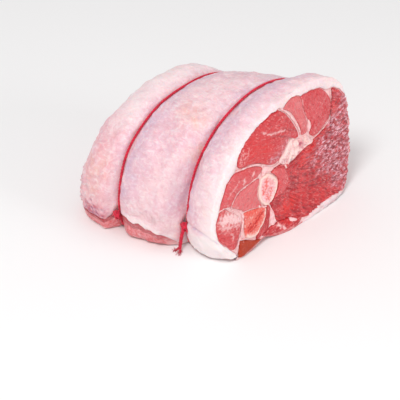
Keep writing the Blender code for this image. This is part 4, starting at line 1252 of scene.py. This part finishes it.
def add_fasciae(material):
    """Thin white bands between the muscles: a flat oval carried along each path, closed at its
    ends."""
    points, faces = [], []
    sides = 10
    a = np.linspace(0.0, 2.0 * math.pi, sides, endpoint=False)
    for half, path in FASCIAE:
        path = on_face(curve(path, max(12, int(along(np.asarray(path))[-1] / 0.7))))
        count = len(path)
        way = np.gradient(path, axis=0)
        across = np.stack([-way[:, 1], way[:, 0]], 1) / np.linalg.norm(way, axis=1, keepdims=True)
        to_end = np.minimum(np.arange(count), np.arange(count)[::-1])
        taper = np.sqrt(np.clip(to_end / 5.0, 0.02, 1.0))
        half_at = half * taper * (1.0 + 0.3 * waves(path, 5.0, 81))
        yz = path[:, None] + across[:, None] * (half_at[:, None] * np.cos(a))[..., None]
        out = -0.35 + 0.6 * np.sin(a) * taper[:, None] + 0.12 * waves(path, 3.0, 82)[:, None]
        start = sum(len(p) for p in points)
        skin = np.concatenate([(face_x(yz) + out)[..., None], yz], -1).reshape(-1, 3)
        hubs = [[face_x(path[k]) - 0.4, *path[k]] for k in (0, -1)]
        points.append(np.concatenate([skin, hubs]))
        faces += quads(count, sides, start, closed=True)
        faces += fan(start + count * sides, start + np.arange(sides), flip=True)
        faces += fan(start + count * sides + 1, start + (count - 1) * sides + np.arange(sides))
    points = np.concatenate(points)
    zero = np.zeros(len(points))
    return add_mesh("fascia_dressed", points, faces, material, pale=zero, hollow=zero)


# Bones and gristle. Rims, blood and flush are soft lines, each a reach and a path
BONES = {
    "thigh_bone": {
        "edge": ((29.0, 41.0), (29.0, 46.3), (30.7, 51.4), (33.4, 55.2), (37.0, 57.3), (41.0, 57.0),
                 (44.8, 54.8), (48.4, 51.4), (51.2, 47.0), (51.5, 43.4), (49.5, 38.6), (46.0, 34.2),
                 (41.5, 31.0), (36.4, 30.9), (32.2, 34.3), (29.9, 38.0)),
        "middle": (39.6, 43.8), "depth": 96.0, "taper": 0.86,
        "rims": ((1.6, ((38.0, 31.0), (33.0, 33.6), (30.0, 38.6), (29.0, 43.0), (29.6, 49.0),
                        (33.0, 55.4))),
                 (2.6, ((36.0, 57.6), (42.0, 56.6), (47.6, 52.4), (50.8, 47.0), (50.6, 42.4),
                        (48.0, 37.0), (44.0, 32.4)))),
        "blood": (),
        "flush": ((0.9, ((34.0, 48.0), (34.2, 42.4))), (0.9, ((43.2, 42.2), (41.9, 37.0))),
                  (2.0, ((38.7, 53.0), (37.4, 46.0))), (1.5, ((37.0, 40.0), (40.0, 35.4))))},
    "spongy_bone": {
        "edge": ((10.7, 35.4), (17.5, 34.9), (25.6, 33.0), (32.4, 31.2), (35.8, 28.5), (34.6, 22.6),
                 (31.1, 17.4), (26.4, 13.7), (22.4, 10.8), (16.2, 11.2), (11.0, 14.1), (9.4, 20.0),
                 (10.0, 25.3), (10.4, 31.2)),
        "middle": (22.0, 23.8), "depth": 34.0, "taper": 0.8,
        "rims": ((1.3, ((36.0, 28.8), (34.3, 22.6), (30.6, 17.4), (26.0, 13.8), (22.0, 11.2))),
                 (2.2, ((22.0, 11.4), (16.0, 11.8), (11.4, 14.6))),),
        "blood": ((1.1, ((31.4, 27.8), (25.7, 23.9), (19.4, 21.4), (13.2, 19.1))),
                  (0.8, ((17.0, 24.4), (13.4, 21.6))), (0.7, ((28.0, 28.6), (23.0, 26.0))),
                  (0.7, ((22.0, 19.8), (16.4, 17.4)))),
        "flush": ((4.0, ((12.0, 19.0), (20.0, 21.5), (29.0, 26.4))),
                  (2.0, ((14.0, 34.0), (24.0, 32.0))))},
    "gristle": {
        "edge": ((55.2, 60.3), (57.2, 63.0), (62.0, 66.0), (66.0, 70.0), (69.8, 72.3), (71.8, 74.8),
                 (74.3, 73.8), (76.2, 71.6), (80.0, 70.1), (86.0, 69.6), (91.0, 69.0), (93.4, 66.0),
                 (95.8, 63.2), (98.3, 61.2), (95.0, 60.1), (90.0, 60.0), (84.0, 58.6), (80.0, 57.6),
                 (73.0, 55.7), (67.0, 56.3), (64.6, 54.8), (63.4, 52.2), (61.6, 51.7), (60.2, 54.5),
                 (57.6, 57.6)),
        "middle": (75.0, 63.5), "depth": 36.0, "taper": 0.75},
}


def path_marks(yz, lines, wander):
    """Strongest of several soft lines, each with a reach and a path."""
    value = np.zeros(len(yz))
    for reach, path in lines:
        value = np.maximum(value, hump(line_distance(yz, on_face(path))[0] + wander, 0.0, reach))
    return value


def bone_surface(bone):
    """Surface of a sawn end, as cut_piece wants it."""
    def surface(yz, _radius, edge):
        """Hard rim a little proud, spongy middle a little low, with fine pits."""
        wander = 0.35 * waves(yz, 3.0, 97)
        rim = path_marks(yz, bone["rims"], wander)
        pits = layers(yz, BONE_PITS) * smooth(0.0, 1.2, edge)
        out = 0.45 + 0.35 * rim - 0.7 * smooth(1.0, 0.0, edge) ** 2 + pits
        return out, {"rim": np.clip(1.3 * rim, 0.0, 0.95),
                     "blood": path_marks(yz, bone["blood"], wander),
                     "flush": 0.8 * path_marks(yz, bone["flush"], 2.0 * wander)}
    return surface


def gristle_surface(yz, _radius, edge):
    """Lumpy pale gristle with a pit and a mottled dimple, each a flat bell. Both are painted in the
    dark pit colour as shade; only the pit is also sunk.
    """
    lumps = layers(yz, GRISTLE_LUMPS)
    pit = np.exp(-np.sum(((yz - [82.0, 64.6]) / [3.2, 2.4]) ** 2, axis=1))
    dimple = np.exp(-np.sum(((yz - [61.5, 56.5]) / [3.4, 4.4]) ** 2, axis=1))
    dimple = dimple * smooth(-0.4, 0.6, waves(yz, 2.6, 96))
    out = 0.8 + lumps * smooth(0.0, 3.0, edge) - 1.2 * smooth(1.6, 0.0, edge) ** 2 - 1.1 * pit
    return out, {"pale": np.clip(0.5 + 0.5 * waves(yz, 7.0, 95), 0.0, 1.0),
                 "hollow": np.clip(1.2 * pit + dimple, 0.0, 1.0)}


def bone_walls(bone):
    """Rows of a bone that runs into the meat, narrower towards its end."""
    depth, taper = bone["depth"], bone["taper"]
    return ((0.6, 1.0), (0.35 * depth, 0.5 + 0.5 * taper), (depth - 2.0, taper),
            (depth, 0.9 * taper))


def add_bones(bones):
    """The two sawn bones and the gristle, whose ends show in the cut face."""
    finishes = {
        "thigh_bone": bone_finish("lamb_marrow", bones, bones.marrow, bones.pore),
        "spongy_bone": bone_finish("lamb_spongy_bone", bones, bones.spongy, bones.pore),
        "gristle": pale_finish("lamb_gristle", bones.gristle, bones.grey, size=4.0),
    }
    pieces = {}
    for name, bone in BONES.items():
        ring = on_face(curve(bone["edge"], 150, closed=True))
        surface = gristle_surface if name == "gristle" else bone_surface(bone)
        pieces[name] = cut_piece(f"{name}_dressed", ring, on_face([bone["middle"]])[0], 34, surface,
                                 bone_walls(bone), finishes[name])
    return pieces


# Strip of fat under the joint: share of its full height along the cut face
FAT_SPINDLE = ((73.0, 0.25), (77.0, 0.4), (86.0, 0.74), (97.0, 0.92), (108.0, 1.05), (116.0, 0.8),
               (122.0, 0.3), (126.0, 0.1), (129.0, 0.06))


def underside_fat(fat):
    """Low slab of fat: half a superellipse carried under the joint, rounded off at its front end,
    following the lip of the cut face and lifted with its corner."""
    columns, rows = 150, 60
    a = np.linspace(0.0, math.pi, columns)
    power = 2.0 / FAT_STRIP["power"]
    depth = FAT_STRIP["depth"]
    x = np.concatenate([[0.9, 0.85, 0.6, 0.2], np.linspace(-0.5, -depth, rows)])
    inset = np.concatenate([[0.75, 0.93, 0.985, 1.0], np.ones(rows)])
    taper = np.interp(x, (-depth, -0.35 * depth, 0.0), (0.96, 0.98, 1.0)) * inset
    y = np.sign(np.cos(a)) * np.abs(np.cos(a)) ** power * FAT_STRIP["half_width"]
    z = np.abs(np.sin(a)) ** power * FAT_STRIP["height"]
    y = FAT_STRIP["middle"] + y * taper[:, None]
    front = np.interp(y, *np.array(FAT_SPINDLE).T)
    z = z * (front + (1.0 - front) * smooth(-2.0, -30.0, x)[:, None])
    z = np.clip(z * taper[:, None] + 0.2 * waves(y[..., None], 9.0, 101), 0.1, None)
    z[:, [0, -1]] = 0.1
    low = np.clip((TWINE_BASE + TWINE_SINK) * in_notch(x), 0.1, None)[:, None]
    lift = lift_corner(x, np.stack([y, 0.0 * y], -1))[..., 1]
    low = np.maximum(low, lift - 0.15)
    z = np.maximum(z + lift, low + 0.05)
    yz = np.stack([y, z], -1)
    bottom = np.stack([y, low], -1)[:, ::-6]
    loop = np.concatenate([yz, bottom], axis=1)
    reach = np.clip(1.0 + np.minimum(x, 0.0) / TILT_REACH, 0.0, 1.0)[:, None]
    grid = np.stack([x[:, None] + face_x(loop) * reach + 0.3 * waves(loop, 7.0, 102) * reach,
                     loop[..., 0] + FAT_DRIFT * np.minimum(x, 0.0)[:, None], loop[..., 1]], -1)
    wide = loop.shape[1]
    hubs = [grid[0].mean(axis=0), grid[-1].mean(axis=0)]
    faces = quads(len(grid), wide, closed=True, flip=True)
    faces += fan(len(grid) * wide, np.arange(wide))
    faces += fan(len(grid) * wide + 1, (len(grid) - 1) * wide + np.arange(wide), flip=True)
    points = np.concatenate([grid.reshape(-1, 3), hubs])
    zero = np.zeros(len(points))
    marks = {"valley": zero, "vein": zero, "pink": zero, "peach": zero + 0.12, "membrane": zero,
             "white": zero + 0.4}
    return add_mesh("underside_fat_dressed", points, faces, fat_finish(fat), **marks)


# Twine: length of one full turn of its strands, and the tail as it leaves the knot
STRAND_TURN = 7.5
TAIL = ((0.0, 0.0, 0.0), (-0.1, -1.8, -5.0), (0.3, -3.4, -10.0), (0.6, -4.8, -14.5))


def strands(path, across, radius, turns, closed=False, count=3, sides=8):
    """Twisted strands, each a round tube whose middle circles the path, as points, faces and the
    painted shade on the sides of the strands that face the path.

    Strand k is at path + r (cos f * normal + sin f * side), with f / 2 pi = turns * t + k / count
    and t the share of the path's length."""
    way = np.gradient(path, axis=0)
    if closed:
        way = np.roll(path, -1, 0) - np.roll(path, 1, 0)
    way /= np.linalg.norm(way, axis=1, keepdims=True)
    normal = np.cross(way, across)
    normal /= np.linalg.norm(normal, axis=1, keepdims=True)
    side = np.cross(way, normal)
    t = np.arange(len(path)) / (len(path) if closed else len(path) - 1)
    thick = 0.53 * radius
    a = np.linspace(0.0, 2.0 * math.pi, sides, endpoint=False)
    points, faces, hollow = [], [], []
    for k in range(count):
        f = 2.0 * math.pi * (turns * t + k / count)
        middle = path + (radius - thick) * (np.cos(f)[:, None] * normal + np.sin(f)[:, None] * side)
        around = np.cos(a)[:, None] * normal[:, None] + np.sin(a)[:, None] * side[:, None]
        skin = middle[:, None] + thick * around
        start = sum(len(p) for p in points)
        rows = len(path)
        out = np.linalg.norm(skin - path[:, None], axis=-1) / radius
        # Painted shade on the sides of each strand that face the middle of the twine
        hollow.append(0.8 * smooth(0.8, 0.3, out).ravel())
        points.append(skin.reshape(-1, 3))
        faces += quads(rows, sides, start, closed=True)
        first = start + np.arange(sides)
        last = first + (rows - 1) * sides
        if closed:
            faces += np.stack([last, np.roll(last, -1), np.roll(first, -1), first], -1).tolist()
        else:
            points.append(middle[[0, -1]])
            hollow.append(np.zeros(2))
            faces += fan(start + rows * sides, first, flip=True)
            faces += fan(start + rows * sides + 1, last)
    return np.concatenate(points), faces, np.concatenate(hollow)


def joined(parts):
    """One set of points, faces and marks from several."""
    points, faces, marks, start = [], [], [], 0
    for part_points, part_faces, part_marks in parts:
        points.append(part_points)
        faces += [[v + start for v in face] for face in part_faces]
        marks.append(part_marks)
        start += len(part_points)
    return np.concatenate(points), faces, np.concatenate(marks)


def string_path(string_x):
    """Path of a string: round the section and straight along under the joint, at even steps."""
    line = outlines(np.array([string_x]))[0]
    under = np.linspace(line[-1], line[0], 40)[1:-1]
    under[:, 1] = TWINE_BASE
    yz = even(np.concatenate([line, under]), 620, closed=True)
    return np.column_stack([np.full(len(yz), string_x) + 0.35 * waves(yz, 60.0, 111), yz])


def knot_curve(middle, reach, turn):
    """Closed overhand knot, a flattened trefoil: (sin t + 2 sin 2t, cos t - 2 cos 2t, -sin 3t)."""
    t = np.linspace(0.0, 2.0 * math.pi, 150, endpoint=False)
    flat = np.stack([np.sin(t) + 2.0 * np.sin(2.0 * t), np.cos(t) - 2.0 * np.cos(2.0 * t)], 1) / 3.0
    a = math.radians(turn)
    x = flat[:, 0] * math.cos(a) - flat[:, 1] * math.sin(a)
    z = flat[:, 0] * math.sin(a) + flat[:, 1] * math.cos(a)
    return middle + np.stack([x * reach[0], -np.sin(3.0 * t) * reach[1], z * reach[2]], 1)


def fray(end, way, length, count, seed, spread=0.5):
    """Loose fibres that fan out from a cut end."""
    rng = np.random.default_rng(seed)
    parts = []
    for _ in range(count):
        bend = rng.normal(size=3) * spread
        t = np.linspace(0.0, 1.0, 9)[:, None]
        reach = length * rng.uniform(0.6, 1.0)
        path = end + rng.normal(size=3) * 0.4 + (way + bend * t) * t * reach
        path[:, 2] = np.maximum(path[:, 2], 0.35)
        parts.append(strands(path, np.array([1.0, 0.2, 0.1]), 0.32, 0.5, count=1, sides=5))
    return parts


def add_twine(name, string_x, with_tail, twine, material):
    """A string round the joint, its knot, and its cut ends or its frayed tail."""
    radius = twine.radius / MM
    path = string_path(string_x)
    outwards, across = np.array([0.0, 1.0, 0.0]), np.array([1.0, 0.0, 0.0])
    turns = round(along(path)[-1] / STRAND_TURN)
    parts = [strands(path, across, radius, turns, closed=True)]
    middle = knot_middle(string_x) + [0.0, 0.2, 0.0]
    knot = knot_curve(middle, (2.8, 1.1, 3.6), 20.0)
    parts.append(strands(knot, outwards, radius, 6, closed=True))
    bow = knot_curve(middle + [0.2, -0.7, 1.2], (2.0, 1.0, 2.3), 200.0)
    parts.append(strands(bow, outwards, radius, 4, closed=True))
    if with_tail:
        top = middle + [-0.6, -0.6, -2.4]
        tail = curve(top + np.array(TAIL), 60)
        parts.append(strands(tail, across, 1.4 * radius, 2.4))
        for side, seed in ((-1.0, 5), (1.0, 6)):
            end = curve(tail[-1] + np.array([[0.3 * side, 0.0, 1.2], [0.8 * side, -0.4, -0.8],
                                             [1.6 * side, -1.2, -2.2]]), 24)
            end[:, 2] = np.maximum(end[:, 2], 1.1)
            parts.append(strands(end, outwards, radius, 0.8, count=2))
            parts += fray(end[-4], np.array([0.45 * side, -0.6, -0.6]), 3.6, 20, seed)
        ear = curve(middle + np.array([[1.5, -0.4, 1.5], [2.7, -0.5, -0.5], [2.9, 0.1, -3.0],
                                       [2.6, 0.7, -5.0]]), 24)
        parts.append(strands(ear, outwards, 0.8 * radius, 0.8))
    else:
        for side, seed in ((-1.0, 7), (1.0, 8)):
            stub = curve(middle + np.array([[0.8 * side, -0.6, 0.0], [2.2 * side, -1.0, -0.8],
                                            [3.4 * side, -0.8, -1.9]]), 20)
            parts.append(strands(stub, outwards, 0.8 * radius, 0.7))
            parts += fray(stub[-2], np.array([0.8 * side, -0.3, -0.6]), 1.8, 10, seed)
    points, faces, hollow = joined(parts)
    return add_mesh(name, points, faces, material, hollow=hollow)


# Settings that a user would change
def colour_setting(name, description, red, green, blue):
    """Colour property with its name, its description and its default as a screen colour."""
    return FloatVectorProperty(name=name, description=description, subtype="COLOR", size=3,
                               default=tint(red, green, blue), min=0.0, max=1.0)


class LambFatSettings(bpy.types.PropertyGroup):
    pink: colour_setting("Pink", "Main colour of the fat", 238, 194, 204)
    cream: colour_setting("Cream", "Lighter clouds of the fat", 244, 208, 213)
    white: colour_setting("White", "Whitest fat, at the cut and in streaks", 253, 238, 238)
    rosy: colour_setting("Rosy", "Pinker fat of the left bulge", 238, 176, 184)
    # Lavender: painted shade in the valleys beside the strings and in the crease
    lavender: colour_setting("Lavender", "Fat over meat, in the valleys", 216, 184, 204)
    peach: colour_setting("Peach", "Warm patches", 242, 190, 180)
    # Vein: veins and streaks, also painted as shade in the troughs of the folds
    vein: colour_setting("Vein", "Faint veins and streaks", 212, 144, 154)
    membrane: colour_setting("Membrane", "Thin purple skin at the left end", 162, 84, 122)
    raw: colour_setting("Raw Spot", "Meat seen through the thin skin", 206, 96, 108)


class LambLeanSettings(bpy.types.PropertyGroup):
    deep: colour_setting("Deep Red", "Darkest lean", 180, 18, 34)
    crimson: colour_setting("Crimson", "Dark lean", 204, 38, 48)
    red: colour_setting("Red", "Common lean", 216, 68, 72)
    rose: colour_setting("Rose", "Light lean", 220, 88, 94)
    salmon: colour_setting("Salmon", "Lightest lean", 226, 114, 116)
    russet: colour_setting("Russet", "Smooth muscle at the front foot", 180, 70, 50)
    blush: colour_setting("Blush", "Bare lean on the outside", 236, 152, 156)
    pink: colour_setting("Pink", "Mixed fat and lean", 236, 158, 162)
    fascia: colour_setting("Fascia", "White skin between muscles", 250, 204, 204)
    fleck: colour_setting("Fleck", "Pale flecks in the grain", 240, 146, 144)
    # Torn glint: purple-pink skin of torn flaps, partly painted highlight
    glint: colour_setting("Torn Glint", "Purple-pink skin on torn flaps", 246, 198, 212)
    vivid: colour_setting("Vivid", "Fresh wet patches", 224, 34, 30)
    shadow: colour_setting("Cleft", "Bottom of tears and seams", 136, 16, 34)


class LambBoneSettings(bpy.types.PropertyGroup):
    rim: colour_setting("Rim", "Hard rim of the bone", 250, 217, 207)
    marrow: colour_setting("Marrow", "Inside of the thigh bone", 253, 202, 208)
    spongy: colour_setting("Spongy Bone", "Inside of the spongy bone", 234, 118, 106)
    pore: colour_setting("Pore", "Darker pores", 228, 96, 96)
    flush: colour_setting("Flush", "Redder parts of the inside", 238, 74, 56)
    blood: colour_setting("Blood", "Streaks of blood", 196, 14, 12)
    gristle: colour_setting("Gristle", "Pale gristle", 252, 214, 210)
    # Pit colour: clouds in the gristle, and painted shade in its pit and dimple
    grey: colour_setting("Pit", "Pits in the gristle", 208, 112, 128)


class LambTwineSettings(bpy.types.PropertyGroup):
    radius: FloatProperty(name="Radius", description="Radius of the twine", unit="LENGTH",
                          default=0.0011, min=0.0005, max=0.002)
    colour: colour_setting("Red", "Main colour", 200, 4, 52)
    light: colour_setting("Light Red", "Lighter fibres", 236, 18, 64)
    # Dark red: painted shade between the strands
    dark: colour_setting("Dark Red", "Between the strands", 120, 6, 34)


class LambStageSettings(bpy.types.PropertyGroup):
    lens: FloatProperty(name="Lens", description="Focal length of the camera, in millimetres",
                        default=135.0, min=20.0, max=300.0)
    key_power: FloatProperty(name="Key Light", description="Power of the main soft light",
                             unit="POWER", default=14.0, min=0.0)
    fill_power: FloatProperty(name="Fill Light", description="Power of the light from the right",
                              unit="POWER", default=4.3, min=0.0)
    sky: FloatProperty(name="Surround", description="Strength of the white surround",
                       default=0.6, min=0.0)


# Operators
class LAMB_OT_fat(bpy.types.Operator):
    """Make the fat cover and the strip of fat below"""
    bl_idname = "lamb.fat"
    bl_label = "Fat"

    def execute(self, context):
        finish_piece(fat_cover(context.scene.lamb_fat), "fat_cover")
        finish_piece(underside_fat(context.scene.lamb_fat), "underside_fat")
        return {"FINISHED"}


class LAMB_OT_lean(bpy.types.Operator):
    """Make the lean body and the muscles of the cut face"""
    bl_idname = "lamb.lean"
    bl_label = "Lean Meat"

    def execute(self, context):
        lean = context.scene.lamb_lean
        for piece in [lean_body(lean), *add_muscles(lean)]:
            finish_piece(piece, "lean_meat")
        return {"FINISHED"}


class LAMB_OT_bones(bpy.types.Operator):
    """Make the two sawn bones and the gristle"""
    bl_idname = "lamb.bones"
    bl_label = "Bones and Gristle"

    def execute(self, context):
        for node, piece in add_bones(context.scene.lamb_bones).items():
            finish_piece(piece, node)
        return {"FINISHED"}


class LAMB_OT_twine(bpy.types.Operator):
    """Make the two strings with their knots"""
    bl_idname = "lamb.twine"
    bl_label = "Twine"

    def execute(self, context):
        twine = context.scene.lamb_twine
        material = twine_finish(twine)
        for node, string_x in (("twine_left", LEFT_STRING_X), ("twine_right", RIGHT_STRING_X)):
            piece = add_twine(f"{node}_dressed", string_x, node == "twine_right", twine, material)
            finish_piece(piece, node)
        return {"FINISHED"}


def add_light(name, spot, power):
    """Round soft light that looks at the joint."""
    data = bpy.data.lights.new(name, "AREA")
    data.shape, data.size, data.energy = "DISK", LIGHT_SIZE, power
    light = bpy.data.objects.new(name, data)
    light.location = spot
    light.rotation_euler = (Vector(LIGHT_AIM) - Vector(spot)).to_track_quat("-Z", "Y").to_euler()
    bpy.context.scene.collection.objects.link(light)


class LAMB_OT_stage(bpy.types.Operator):
    """Make the floor, the lights and the camera"""
    bl_idname = "lamb.stage"
    bl_label = "Stage"

    def execute(self, context):
        scene, stage = context.scene, context.scene.lamb_stage
        finish = Finish("stage_floor", 0.9)
        finish.shader.inputs["Base Color"].default_value = (*tint(250, 249, 249), 1.0)
        mesh = bpy.data.meshes.new("stage_floor")
        corners = [(x * STAGE_HALF, y * STAGE_HALF, STAGE_LEVEL)
                   for x, y in ((-1, -1), (1, -1), (1, 1), (-1, 1))]
        mesh.from_pydata(corners, [], [(0, 1, 2, 3)])
        mesh.materials.append(finish.material)
        floor = bpy.data.objects.new("stage_floor", mesh)
        scene.collection.objects.link(floor)
        add_light("key_light", KEY_PLACE, stage.key_power)
        add_light("fill_light", FILL_PLACE, stage.fill_power)
        world = bpy.data.worlds.new("stage_surround")
        world.use_nodes = True
        sky = world.node_tree.nodes["Background"]
        sky.inputs["Color"].default_value = (1.0, 1.0, 1.0, 1.0)
        sky.inputs["Strength"].default_value = stage.sky
        scene.world = world
        scene.view_settings.view_transform = "Standard"
        data = bpy.data.cameras.new("camera")
        data.lens, data.sensor_width = stage.lens, 36.0
        camera = bpy.data.objects.new("camera", data)
        camera.location = CAMERA_PLACE
        camera.rotation_euler = Vector(CAMERA_WAY).to_track_quat("-Z", "Y").to_euler()
        scene.collection.objects.link(camera)
        scene.camera = camera
        return {"FINISHED"}


class LAMB_PT_panel(bpy.types.Panel):
    bl_label = "Lamb Leg Joint"
    bl_idname = "LAMB_PT_panel"
    bl_space_type = "VIEW_3D"
    bl_region_type = "UI"
    bl_category = "Lamb"

    def draw(self, context):
        """A button for each operator, then every setting."""
        for operator in OPERATORS:
            self.layout.operator(operator.bl_idname)
        for settings in SETTINGS:
            box = self.layout.box()
            group = getattr(context.scene, settings)
            for key in group.bl_rna.properties.keys():
                if key not in ("rna_type", "name"):
                    box.prop(group, key)


SETTINGS = {
    "lamb_fat": LambFatSettings, "lamb_lean": LambLeanSettings, "lamb_bones": LambBoneSettings,
    "lamb_twine": LambTwineSettings, "lamb_stage": LambStageSettings,
}
OPERATORS = (LAMB_OT_fat, LAMB_OT_lean, LAMB_OT_bones, LAMB_OT_twine, LAMB_OT_stage)


def register():
    """Adds the classes and the settings."""
    for cls in (*SETTINGS.values(), *OPERATORS, LAMB_PT_panel):
        bpy.utils.register_class(cls)
    for name, group in SETTINGS.items():
        setattr(bpy.types.Scene, name, PointerProperty(type=group))


def unregister():
    """Takes the settings and the classes away again."""
    for name in SETTINGS:
        delattr(bpy.types.Scene, name)
    for cls in (LAMB_PT_panel, *reversed(OPERATORS), *reversed(tuple(SETTINGS.values()))):
        bpy.utils.unregister_class(cls)


def main():
    """Makes every piece and the stage."""
    register()
    bpy.ops.lamb.fat()
    bpy.ops.lamb.lean()
    bpy.ops.lamb.bones()
    bpy.ops.lamb.twine()
    bpy.ops.lamb.stage()


if __name__ == "__main__":
    main()
